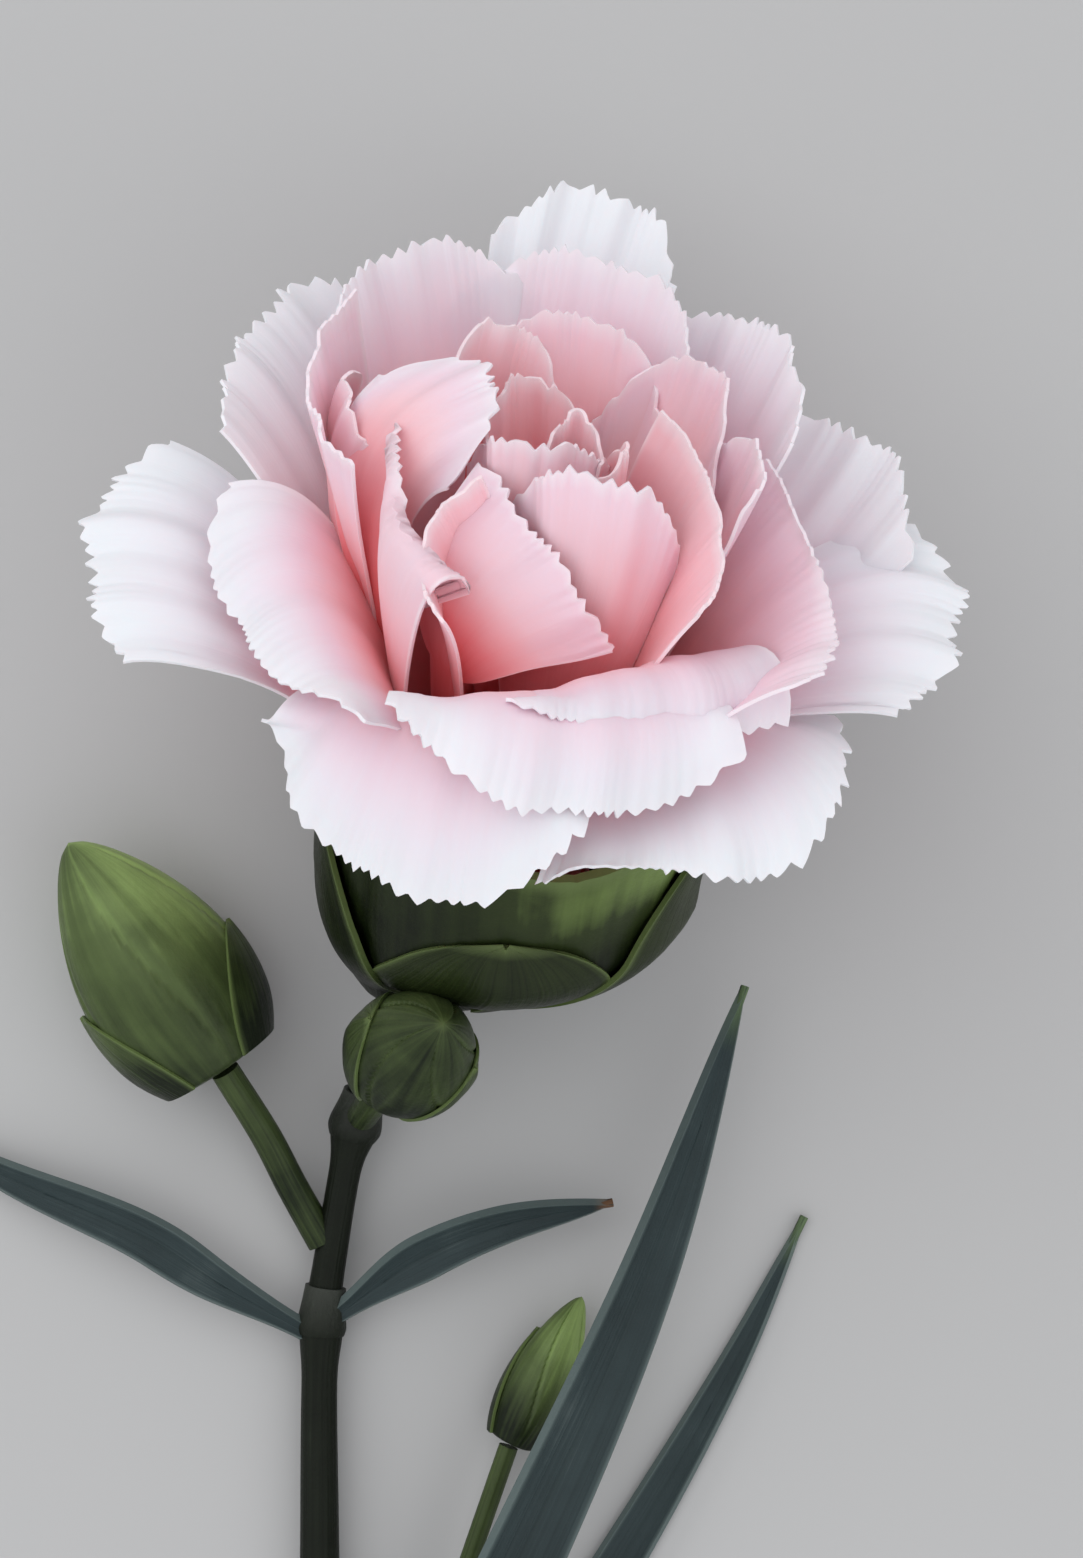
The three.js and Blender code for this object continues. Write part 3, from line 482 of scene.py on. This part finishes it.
def petalShape(petal, seed):
    def shape(across, share):
        midrib = petalMidrib(petal)
        length = pathLength(midrib)
        claw = petal["claw"]
        blade = length - claw
        halfWidth = petal["width"] / 2
        out = outOnBlade(share)
        tooth, rib = teethAt(petal, across, seed)
        onBlade = blade * out * (1 - petal["corner"] * out * np.abs(across) ** 2.8)
        along = np.where(out > 0, claw + onBlade, claw * share / petalSheet["clawShare"])
        along = along + tooth * smooth((out - 0.72) / 0.28) ** 2
        narrow = petalSheet["clawHalfWidth"]
        lateral = across * (narrow + (halfWidth - narrow) * out**0.62)
        lateral = lateral + np.sign(across) * tooth * np.abs(across) ** 6 * smooth(out * 2 - 0.7)
        centre, forward = walkPath(midrib, along / length)
        face = math.radians(petal.get("face", petal["tip"][0]))
        tilt = math.radians(petal["tilt"])
        side = np.array([-math.sin(face) * math.cos(tilt), math.cos(face) * math.cos(tilt), math.sin(tilt)])
        normal = unit(np.cross(forward, side))
        sideways = np.cross(normal, forward)
        low, high = np.radians(petal["cup"])
        bend = blendTo(low, high, smooth(out * 1.3))
        curve = np.where(np.abs(bend) < 0.01, 0.01, bend) / halfWidth
        turn = (lateral * curve)[:, None]
        curve = curve[:, None]
        points = centre + sideways * np.sin(turn) / curve + normal * (1 - np.cos(turn)) / curve
        outward = normal * np.cos(turn) - sideways * np.sin(turn)
        swell = 0.6 * np.sin(math.pi * petal["waves"] * across + seed)
        swell = swell + 0.4 * np.sin(math.pi * petal["waves"] * 1.7 * across + seed * 2.3)
        ripple = petal["wave"] * swell * out**2.2
        ripple = ripple + 0.05 * rib * smooth((out - 0.8) / 0.2)
        points = fromFlower(points + outward * ripple[:, None])
        return layOnTable(points, tableLevel + petalSheet["thickness"] / 2)
    return shape


def petalPink(petal):
    def pink(across, share):
        claw, low, middle, margin = petal["pink"]
        out = outOnBlade(share)
        edge = out + 0.12 * np.abs(across) ** 3
        return np.interp(edge, [0, 0.32, 0.66, 0.97], [claw, low, middle, margin])
    return pink


# painted highlight: a thin lighter line along the margin and the sides, where the thick petal edges catch
# the light
def petalRimHighlight(across, share):
    out = outOnBlade(share)
    top = smooth((out - 0.955) / 0.045)
    sides = smooth((np.abs(across) - 0.965) / 0.035) * smooth(out * 4)
    return np.maximum(top, sides)


def paintPetal():
    paint = Paint("carnationPetal")
    along = paint.where("UV", scale=(46, 2.2, 1))
    fibres = paint.noise(along, 1, detail=2)
    broad = paint.noise(paint.where("UV", scale=(9, 1.3, 1)), 1, detail=2)
    grain = paint.noise(paint.where("Object", scale=(1, 1, 1)), 1400, detail=2)
    pink = paint.mark("pink")
    rim = paint.mark("rim")
    share = (pink + (fibres - 0.5) * 0.05 + (broad - 0.5) * 0.10).clamped()
    skin = paint.colours(share, [
        (0.0, (0.87, 0.86, 0.895)),
        (0.13, (0.88, 0.78, 0.85)),
        (0.3, (0.91, 0.65, 0.74)),
        (0.45, (0.96, 0.58, 0.63)),
        (0.62, (0.97, 0.46, 0.49)),
        (0.82, (0.95, 0.31, 0.33)),
        (1.0, (0.86, 0.17, 0.18)),
    ])
    # the rim mark mixes the petal toward a lighter tint: a painted highlight along its edges
    pale = paint.mix(rim * 0.5, skin, (0.93, 0.89, 0.92))
    height = fibres * 0.7 + grain * 0.3
    return paint.finish(
        Base_Color=pale,
        Roughness=0.62 + (grain - 0.5) * 0.12,
        Normal=paint.bump(height, 0.13, 0.0003),
        Subsurface_Weight=0.25,
        Subsurface_Radius=(0.0025, 0.0012, 0.0011),
        Subsurface_Scale=1.0,
        Specular_IOR_Level=0.25,
        Sheen_Weight=0.08,
    )


def makePetal(name, petal, seed, material):
    petal = {**petalLook, **petal}
    marks = {"pink": petalPink(petal), "rim": petalRimHighlight}
    piece = layGrid("petal." + name, petalSheet["columns"], petalSheet["rows"],
                    petalShape(petal, seed), marks)
    applyModifier(piece, "SOLIDIFY", thickness=petalSheet["thickness"] / 1000, offset=0)
    shadeSmooth(piece, 60)
    settle(piece, name + "_petal", material)


petalPaint = paintPetal()
for number, (name, petal) in enumerate(petals.items()):
    makePetal(name, petal, number * 1.37 + 0.6, petalPaint)
print("petals:", len(petals))


# Calyx and its scales

calyxLook = {
    "sides": 160, "rows": 60, "tuck": 2.4,
    "scaleThickness": 0.5, "scaleGap": 0.15, "outerGap": 0.85,
}


def onCup(azimuth, height, offset=0.0):
    # the right side runs straighter from foot to mouth than the plain cup
    right = (0.5 + 0.5 * np.cos(np.radians(azimuth - 340))) ** 2
    belly = np.sin(math.pi * np.clip(height / calyx["height"], 0, 1))
    return onCalyx(azimuth, height, offset - calyxLook["tuck"] * right * belly)


def calyxTop(azimuth):
    tooth = np.abs((azimuth / calyx["sepalAngle"]) % 1 - 0.5) * 2
    return calyx["height"] - calyx["toothDepth"] * (1 - (1 - tooth) ** 0.8)


def calyxShape(across, along):
    azimuth = (across + 1) * 180
    height = blendTo(0.4, calyxTop(azimuth), along**1.15)
    sepal = np.abs((azimuth / calyx["sepalAngle"]) % 1 - 0.5) * 2
    fold = -0.35 * smooth((sepal - 0.75) / 0.25) * smooth(height / 12)
    keel = 0.22 * smooth(1 - sepal * 4) * smooth(height / 12)
    return onCup(azimuth, height, fold + keel)


def calyxLitMouth(across, along):
    # painted light: lighter green only toward the mouth, on the side away from the buds where the light
    # falls; lower down the dark green also stands for painted shade under the bloom
    azimuth = np.radians((across + 1) * 180 - 322)
    return 0.04 + 0.95 * smooth((along - 0.55) / 0.35) * (0.5 + 0.5 * np.cos(azimuth)) ** 3


# painted highlight: the mouth's edge is lighter, where the light catches it
def calyxRimHighlight(across, along):
    return smooth((along - 0.93) / 0.07)


def paintGreen(name, deep, paleAndLitGreen, rimTint, veinScale, middle):
    # leathery green skin: mottled and veined along its length; the pale mark runs it toward a lighter
    # green, on the calyx, its scales and the buds partly painted light on their lit side, and the rim mark
    # gives a lighter edge, a painted highlight on the calyx's mouth and the scales' edges
    paint = Paint(name)
    veins = paint.noise(paint.where("UV", scale=(veinScale, 1.5, 1)), 1, detail=3)
    mottle = paint.noise(paint.where("Object"), 160, detail=4)
    speck = paint.noise(paint.where("Object"), 1800, detail=2)
    pale = paint.mark("pale")
    rim = paint.mark("rim")
    share = (pale + (veins - 0.5) * 0.5 + (mottle - 0.5) * 0.55).clamped()
    between = tuple(blendTo(np.array(deep), np.array(paleAndLitGreen), middle))
    skin = paint.colours(share, [(0.0, deep), (0.55, between), (1.0, paleAndLitGreen)])
    edged = paint.mix(rim * 0.75, skin, rimTint)
    height = veins * 0.6 + speck * 0.25 + mottle * 0.15
    return paint.finish(
        Base_Color=edged,
        Roughness=0.42 + (speck - 0.5) * 0.2,
        Normal=paint.bump(height, 0.35, 0.0005),
        Specular_IOR_Level=0.18,
        Subsurface_Weight=0.05,
        Subsurface_Radius=(0.0006, 0.001, 0.0003),
        Subsurface_Scale=1.0,
    )


# the calyx's deep green is near black: besides its own dark green it carries painted shade, standing for
# the shadow the bloom casts on it
calyxPaint = paintGreen("calyxSkin", (0.004, 0.007, 0.0015), (0.15, 0.22, 0.06),
                        (0.13, 0.18, 0.06), 60, 0.16)
piece = layGrid("calyx.cup", calyxLook["sides"], calyxLook["rows"], calyxShape, {
    "rim": calyxRimHighlight,
    "pale": calyxLitMouth,
})
closeShell(piece)
applyModifier(piece, "SOLIDIFY", thickness=calyx["wall"] / 1000, offset=-1)
shadeSmooth(piece)
settle(piece, "calyx", calyxPaint)

# each scale pales toward its tip; the right scale's much lighter tip is a painted highlight, where the
# light catches it
calyxScales = {
    "left": {"azimuth": 180, "halfAngle": 52, "from": 1.4, "to": 21, "outer": True,
        "pale": (0.0, 0.12)},
    "right": {"azimuth": 350, "halfAngle": 52, "from": 2.2, "to": 23, "outer": True,
        "pale": (0.05, 0.45)},
    "front": {"azimuth": 268, "halfAngle": 54, "from": 1, "to": 19, "outer": False,
        "pale": (0.02, 0.3)},
    "back": {"azimuth": 85, "halfAngle": 52, "from": 1, "to": 17, "outer": False,
        "pale": (0.05, 0.35)},
}
scaleGrid = {"columns": 40, "rows": 36}


def scaleShape(onBody, scale, offset):
    # broad at its foot, drawn to a point at its tip, with a low keel
    def shape(across, along):
        height = blendTo(scale["from"], scale["to"], along**1.4)
        spread = scale["halfAngle"] * np.maximum(1 - along**2.2, 0) ** 0.5 + 0.8
        keel = 0.25 * (1 - np.minimum(np.abs(across) * 3, 1)) * smooth(along * 2)
        hug = -0.3 * offset * np.abs(across) ** 4
        return onBody(scale["azimuth"] + across * spread, height, offset + keel + hug)
    return shape


# painted highlight: the scale's edges and tip are lighter, where the light catches them
def scaleRimHighlight(across, along):
    return np.maximum(smooth((np.abs(across) - 0.93) / 0.07), smooth((along - 0.95) / 0.05))


# lighter toward the tip: partly the scale's own green, partly painted highlight
def scalePaleAndLitTip(low, high):
    def pale(across, along):
        return blendTo(low, high, smooth((along - 0.3) / 0.7))
    return pale


def makeScale(name, node, onBody, scale, offset, thickness, material):
    marks = {"rim": scaleRimHighlight, "pale": scalePaleAndLitTip(*scale["pale"])}
    shape = scaleShape(onBody, scale, offset)
    piece = layGrid(name, scaleGrid["columns"], scaleGrid["rows"], shape, marks)
    applyModifier(piece, "SOLIDIFY", thickness=thickness / 1000, offset=0)
    shadeSmooth(piece, 60)
    settle(piece, node, material)


half = calyxLook["scaleThickness"] / 2
for name, scale in calyxScales.items():
    gap = calyxLook["outerGap"] if scale["outer"] else calyxLook["scaleGap"]
    makeScale("calyx.scale." + name, "calyx_bract_" + name, onCup, scale, gap + half,
              calyxLook["scaleThickness"], calyxPaint)
print("calyx and", len(calyxScales), "scales")


# Stem

stem = {
    "cutLength": 125, "cutRadius": 2.35, "topRadius": 1.45, "swell": 1.25,
    "offset": -11.1, "lowNodeHeight": 35, "around": 32, "rings": 260,
    "sheathRings": 24, "stalkAround": 20, "stalkRings": 60,
}
stemLevel = tableLevel + stem["cutRadius"] * stem["swell"]
upperNode = np.array([-7.6, -12.6, -3.9])
budJoint = np.array([-9.7, -23.6, stemLevel + 0.3])
leafNode = np.array([-10.7, -31.3, stemLevel])
lowNode = np.array([stem["offset"], stem["lowNodeHeight"] - stem["cutLength"], stemLevel])


def nodeShape(y, node, reach):
    return np.exp(-(((y - node[1]) / reach) ** 2))


def stemRadius(y):
    taper = np.clip((y + stem["cutLength"]) / (stem["cutLength"] - 20), 0, 1)
    plain = blendTo(stem["cutRadius"], stem["topRadius"], taper**1.4)
    flare = 0.5 * smooth((y - upperNode[1] - 1) / 6)
    low = nodeShape(y, lowNode, 3.4) + nodeShape(y, leafNode, 2.6)
    top = nodeShape(y, upperNode, 2.2) * 2
    return (plain + flare) * (1 + (stem["swell"] - 1) * np.minimum(low + top, 3))


def besideStem(node, side, gap, forward, rise):
    # a start beside the stem: side 1 is to the right, gap is from its skin, rise from its middle
    y = node[1] + forward
    return np.array([node[0] + side * (stemRadius(y) + gap), y, node[2] + rise])


def onTheWay(start, end, share, rise):
    return start + (end - start) * share + np.array([0, 0, rise])


def tubeShape(path, reach, rings, capRings=1):
    # rings along a path; the first and last rings shrink to a point and close the ends
    def shape(across, along):
        row = np.round(along * rings)
        inner = np.clip((row - capRings) / (rings - 2 * capRings), 0, 1)
        centre, heading = walkPath(path, inner)
        flat = unit(np.cross(heading, np.array([0.0, 0.0, 1.0])))
        upward = np.cross(flat, heading)
        angle = math.pi * (across + 1)
        spread = np.minimum(np.minimum(row, rings - row) / capRings, 1)
        radius = (reach(centre) * spread)[:, None]
        return centre + radius * (flat * np.cos(angle)[:, None] + upward * np.sin(angle)[:, None])
    return shape


def makeTube(name, node, path, reach, around, rings, material, marks, capRings=1):
    piece = layGrid(name, around, rings, tubeShape(path, reach, rings, capRings), marks)
    closeShell(piece)
    shadeSmooth(piece)
    settle(piece, node, material)
    return piece


def paintStem():
    paint = Paint("stemSkin")
    bloom = paint.noise(paint.where("Object"), 220, detail=4)
    streaks = paint.noise(paint.where("UV", scale=(26, 5, 1)), 1, detail=3)
    fine = paint.noise(paint.where("Object"), 2600, detail=2)
    share = (0.35 + (streaks - 0.5) * 0.7 + (bloom - 0.5) * 0.7).clamped()
    skin = paint.colours(share, [(0.0, (0.003, 0.004, 0.002)), (0.5, (0.009, 0.012, 0.007)),
                                 (1.0, (0.045, 0.054, 0.036))])
    lower = paint.mark("waxy")
    waxed = paint.mix(lower * 0.5, skin, (0.085, 0.092, 0.080))
    cut = paint.mix(paint.mark("cut"), waxed, (0.42, 0.46, 0.26))
    height = streaks * 0.7 + fine * 0.3
    return paint.finish(
        Base_Color=cut,
        Roughness=0.46 + (bloom - 0.5) * 0.25,
        Normal=paint.bump(height, 0.45, 0.0005),
        Specular_IOR_Level=0.12,
    )


def receptaclePoint(height):
    return fromFlower(polar(0, 0, height, calyxShift(height)).reshape(1, 3))[0]


stemPaint = paintStem()
stemPath = smoothPath([
    (stem["offset"], -stem["cutLength"], stemLevel),
    lowNode, onTheWay(lowNode, leafNode, 0.6, 0), leafNode,
    budJoint, upperNode, (-5.4, -6.3, -2.6),
    receptaclePoint(-0.9), receptaclePoint(2), receptaclePoint(5.6),
])
stemMarks = {
    "waxy": lambda across, along: smooth(1.0 - along * 1.75),
    "cut": lambda across, along: (along < 2.5 / stem["rings"]).astype(float),
}
makeTube("stem.main", "stem", stemPath, lambda centre: stemRadius(centre[:, 1]),
         stem["around"], stem["rings"], stemPaint, stemMarks, 3)

# at each node the leaf bases join in a short sheath round the stem
sheaths = {
    "upper": {"node": upperNode, "below": 1.2, "above": 3.2, "rise": 0.3},
    "leaf": {"node": leafNode, "below": 0.8, "above": 4.2, "rise": 0.32},
    "low": {"node": lowNode, "below": 0.8, "above": 5.5, "rise": 0.2},
}
sheathMarks = {
    "waxy": lambda across, along: 0.9 * along,
    "cut": lambda across, along: 0 * along,
}


def sheathReach(low, rise):
    def reach(centre):
        y = centre[:, 1]
        return stemRadius(y) + rise * smooth((y - low) / 1.5 + 0.2)
    return reach


for name, sheath in sheaths.items():
    low = sheath["node"][1] - sheath["below"]
    high = sheath["node"][1] + sheath["above"]
    part = stemPath[(stemPath[:, 1] > low) & (stemPath[:, 1] < high)]
    makeTube("stem.sheath." + name, "stem", part, sheathReach(low, sheath["rise"]),
             stem["around"], stem["sheathRings"], stemPaint, sheathMarks)
print("stem and", len(sheaths), "sheaths")


# Buds on their stalks

def budBody(bud):
    up = unit(np.array(bud["axis"], float))
    right = unit(np.cross(up, np.array([0.0, 0.0, 1.0])))
    back = np.cross(up, right)
    turn = np.stack([right, back, up], 1)

    def onBud(azimuth, height, offset=0.0):
        share = np.clip(height / bud["length"], 0, 1)
        belly = np.sin(math.pi * (0.12 + 0.88 * share) ** 0.8).clip(0) ** 0.66
        ends = smooth(np.minimum(share, 1 - share) * 60)
        reach = (bud["radius"] * np.maximum(belly, 0.06) + offset) * ends
        local = polar(azimuth, reach, height)
        return local @ turn.T + np.array(bud["base"])
    return onBud


def budShape(onBud, bud):
    # five sepals wrapped one over the next: a soft step at each edge, winding toward the tip
    def shape(across, along):
        azimuth = (across + 1) * 180
        height = along * bud["length"]
        wrap = (azimuth / calyx["sepalAngle"] + bud["twist"] * along) % 1
        step = bud["seam"] * (smooth(wrap / 0.12) - 1 - 0.25 * wrap)
        return onBud(azimuth, height, step * smooth(along * 3) * smooth((1 - along) * 6))
    return shape


# painted light: the side facing brightSide is lighter, on top of the green that pales toward the tip and a
# lighter strip just past each sepal edge
def budPaleAndLitSide(bud):
    def pale(across, along):
        azimuth = (across + 1) * 180
        wrap = (azimuth / calyx["sepalAngle"] + bud["twist"] * along) % 1
        lit = 0.5 + 0.5 * np.cos(np.radians(azimuth - bud["brightSide"]))
        green = blendTo(bud["pale"][0], bud["pale"][1], smooth(along * 1.25)) * (0.45 + 0.55 * lit)
        return green + 0.10 * smooth((0.16 - wrap) / 0.12) * smooth(along * 3)
    return pale


def budRim(across, along):
    return 0.5 * smooth((along - 0.97) / 0.03)


buds = {
    "front_bud": {
        "base": (-3.6, -6.6, 8.2), "axis": (5, 5.2, 16.5), "length": 17, "radius": 5.5,
        "twist": 0.9, "seam": 0.35, "pale": (0.06, 0.28), "brightSide": 150,
        "scales": {"from": 0.5, "to": 10, "halfAngle": 66, "azimuths": (20, 200),
            "pale": (0.02, 0.25)},
    },
    "left_bud": {
        "base": (-19.4, -7, -0.8), "axis": (-14, 20.8, 2.6), "length": 24.8, "radius": 7.8,
        "twist": 0.5, "seam": 0.28, "pale": (0.25, 1.15), "brightSide": 40,
        "scales": {"from": 0.5, "to": 11, "halfAngle": 62, "azimuths": (0, 180),
            "pale": (0.02, 0.35)},
    },
    "shoot_bud": {
        "base": (6.6, -41.6, -4.6), "axis": (6.6, 13.5, 0.4), "length": 15, "radius": 3.1,
        "twist": 0.7, "seam": 0.25, "pale": (0.0, 1.2), "brightSide": 0,
        "scales": {"from": 0.3, "to": 10.5, "halfAngle": 60, "azimuths": (150,),
            "pale": (0.0, 0.1)},
    },
}
budGrid = {"around": 150, "rows": 80, "scaleGap": 0.18, "scaleThickness": 0.26}
budPaint = paintGreen("budSkin", (0.006, 0.011, 0.003), (0.28, 0.40, 0.13),
                      (0.15, 0.21, 0.07), 34, 0.30)
for name, bud in buds.items():
    onBud = budBody(bud)
    title = name.replace("_", ".")
    piece = layGrid(title, budGrid["around"], budGrid["rows"], budShape(onBud, bud),
                    {"pale": budPaleAndLitSide(bud), "rim": budRim})
    closeShell(piece)
    shadeSmooth(piece, 70)
    settle(piece, name, budPaint)
    for place, azimuth in enumerate(bud["scales"]["azimuths"]):
        scale = {**bud["scales"], "azimuth": azimuth}
        # the shoot bud's one scale has no CAD node of its own
        node = name if name == "shoot_bud" else f"{name}_bract_{place + 1}"
        makeScale(f"{title}.scale.{place + 1}", node, onBud, scale,
                  budGrid["scaleGap"], budGrid["scaleThickness"], budPaint)


def budFoot(name, gap=0.3):
    bud = buds[name]
    return np.array(bud["base"]) - unit(np.array(bud["axis"], float)) * gap


frontBase = np.array(buds["front_bud"]["base"])
shootStart = besideStem(lowNode, 1, -0.6, 2.4, -0.5)
stalks = {
    "front_bud_stalk": {"radius": (1.4, 1.5), "points": [
        onTheWay(upperNode, frontBase, share, 0) for share in (0.2, 0.6, 1.0)]},
    "left_bud_stalk": {"radius": (1.5, 1.35), "points": [
        besideStem(budJoint, -1, -0.7, 0.4, -0.1), (-13.3, -18.1, -4.3),
        (-15.6, -13.4, -2.9), budFoot("left_bud")]},
    "shoot_stalk": {"radius": (0.9, 0.9), "points": [
        shootStart, onTheWay(shootStart, budFoot("shoot_bud"), 0.42, -0.7), budFoot("shoot_bud")]},
}


def stalkReach(path, radius):
    start, end = path[0], path[-1]

    def reach(centre):
        gone = np.linalg.norm(centre - start, axis=1)
        left = np.linalg.norm(centre - end, axis=1)
        return blendTo(radius[0], radius[1], gone / (gone + left))
    return reach


stalkMarks = {
    "pale": lambda across, along: 0.08 + 0.2 * along,
    "rim": lambda across, along: 0 * along,
}
for name, stalk in stalks.items():
    path = smoothPath(stalk["points"])
    makeTube(name.replace("_", "."), name, path, stalkReach(path, stalk["radius"]),
             stem["stalkAround"], stem["stalkRings"], budPaint, stalkMarks)
print("buds:", len(buds))


# Leaves

tallStart = besideStem(lowNode, 1, -0.8, 4, 1.7)
tallBend = np.array([7.5, -50.9, 2.4])
lowStart = besideStem(lowNode, 1, -0.8, -3, -0.7)
lowBend = np.array([16.8, -52.5, -7.2])
leaves = {
    "left_leaf": {"width": 4.6, "roll": -8, "points": [
        besideStem(leafNode, -1, -0.9, -0.2, 0.5), (-20, -26.8, -3.4), (-27, -22.4, -3.2),
        (-39, -17.4, -4.8), (-48, -13.3, -7.3)]},
    "right_leaf": {"width": 4.6, "roll": 16, "dryTip": 1.0, "points": [
        besideStem(leafNode, 1, -0.9, 1.2, 0.7), (-1.8, -24.6, -3), (5.8, -21.4, -2.4), (16, -19.5, -3.6)]},
    "tall_leaf": {"width": 8.2, "roll": 20, "points": [
        tallStart, onTheWay(tallStart, tallBend, 0.46, 1.2), tallBend, (19.1, -25, 2), (28, 0.4, -1.2)]},
    "low_leaf": {"width": 5, "roll": 0, "points": [
        lowStart, onTheWay(lowStart, lowBend, 0.5, 0), lowBend, (27.4, -34.1, -7.2), (33.7, -21.1, -7.2)]},
}
leafSheet = {"columns": 24, "rows": 150, "thickness": 0.8, "channel": 0.28}


def leafShape(leaf):
    path = smoothPath(leaf["points"])

    def shape(across, along):
        centre, forward = walkPath(path, along)
        flat = unit(np.cross(np.array([0.0, 0.0, 1.0]), forward))
        upward = np.cross(forward, flat)
        roll = math.radians(leaf["roll"])
        sideways = flat * math.cos(roll) + upward * math.sin(roll)
        raised = np.cross(forward, sideways)
        outline = (0.36 + 0.64 * smooth(along * 2.6)) * (1 - along**2.8) ** 0.85
        half = np.maximum(leaf["width"] / 2 * outline, 0.12)
        groove = leafSheet["channel"] * half * across**2 - 0.12 * np.exp(-((across * 7) ** 2))
        points = centre + sideways * (across * half)[:, None] + raised * groove[:, None]
        return layOnTable(points, tableLevel + leafSheet["thickness"] / 2, 0.6)
    return shape


def paintLeaf():
    paint = Paint("leafSkin")
    veins = paint.noise(paint.where("UV", scale=(30, 3, 1)), 1, detail=3)
    wax = paint.noise(paint.where("Object"), 130, detail=5)
    fine = paint.noise(paint.where("Object"), 2200, detail=2)
    midrib = paint.mark("midrib")
    share = (0.42 + (veins - 0.5) * 0.5 + (wax - 0.5) * 0.7).clamped()
    skin = paint.colours(share, [(0.0, (0.010, 0.017, 0.018)), (0.5, (0.028, 0.044, 0.046)),
                                 (1.0, (0.13, 0.16, 0.155))])
    ribbed = paint.mix(midrib * 0.35, skin, (0.020, 0.032, 0.030))
    tipped = paint.mix(paint.mark("pale"), ribbed, (0.16, 0.24, 0.10))
    dried = paint.mix(paint.mark("dry"), tipped, (0.16, 0.085, 0.045))
    edged = paint.mix(paint.mark("rim") * 0.5, dried, (0.17, 0.22, 0.21))
    height = veins * 0.6 + fine * 0.4
    return paint.finish(
        Base_Color=edged,
        Roughness=0.5 + (wax - 0.5) * 0.25,
        Normal=paint.bump(height, 0.4, 0.0005),
        Specular_IOR_Level=0.2,
    )


leafPaint = paintLeaf()
for name, leaf in leaves.items():
    dryTip = leaf.get("dryTip", 0.0)
    piece = layGrid(name.replace("_", "."), leafSheet["columns"], leafSheet["rows"], leafShape(leaf), {
        "midrib": lambda across, along: np.exp(-((across * 9) ** 2)) * (1 - along),
        "rim": lambda across, along: smooth((np.abs(across) - 0.88) / 0.12),
        "pale": lambda across, along: 0.6 * smooth((along - 0.93) / 0.07) * (1 - dryTip),
        "dry": lambda across, along: dryTip * smooth((along - 0.93) / 0.05),
    })
    applyModifier(piece, "SOLIDIFY", thickness=leafSheet["thickness"] / 1000, offset=0)
    shadeSmooth(piece, 60)
    settle(piece, name, leafPaint)
print("leaves:", len(leaves))


# Table, light and camera

studio = {
    "tableSize": 8.0,
    "tableTone": 0.49,
    "skyStrength": 0.88,
    "keyPower": 2.5, "keyPlace": (-0.45, 0.35, 0.75), "keySize": 1.1,
    "fillPower": 0.9, "fillPlace": (0.5, -0.4, 0.7), "fillSize": 0.8,
}
camera = {"place": (9.48, 19.21, 411.0), "lens": 104.9, "film": 36}


def paintTable():
    paint = Paint("paleTable")
    cloud = paint.noise(paint.where("Object"), 3, detail=2)
    tone = studio["tableTone"]
    shade = paint.colours(cloud, [(0.3, (tone * 0.97, tone * 0.97, tone * 0.96)),
                                  (0.7, (tone * 1.03, tone * 1.03, tone * 1.02))])
    return paint.finish(Base_Color=shade, Roughness=0.9, Specular_IOR_Level=0.1)


bpy.ops.object.select_all(action="DESELECT")
bpy.ops.mesh.primitive_plane_add(size=studio["tableSize"], location=(0, 0, -0.0002))
tableTop = bpy.context.active_object
tableTop.name = "tableTop"
bpy.ops.object.transform_apply(location=True)
tableTop.data.materials.append(paintTable())


def addSoftLight(name, power, place, size):
    bpy.ops.object.light_add(type="AREA", location=place)
    lamp = bpy.context.active_object
    lamp.name = name
    lamp.data.energy = power
    lamp.data.size = size
    lamp.rotation_euler = Vector(place).to_track_quat("Z", "Y").to_euler()
    return lamp


addSoftLight("keyLight", studio["keyPower"], studio["keyPlace"], studio["keySize"])
addSoftLight("fillLight", studio["fillPower"], studio["fillPlace"], studio["fillSize"])
world = bpy.data.worlds.new("softRoom")
world.use_nodes = True
world.node_tree.nodes["Background"].inputs["Color"].default_value = (0.96, 0.97, 1.0, 1)
world.node_tree.nodes["Background"].inputs["Strength"].default_value = studio["skyStrength"]
bpy.context.scene.world = world
bpy.context.scene.view_settings.view_transform = "Standard"

bpy.ops.object.camera_add(location=toScene(np.array(camera["place"])), rotation=(0, 0, 0))
eye = bpy.context.active_object
eye.data.sensor_fit = "VERTICAL"
eye.data.sensor_height = camera["film"]
eye.data.lens = camera["lens"]
eye.data.clip_start = 0.01
bpy.context.scene.camera = eye
print("table, light and camera")
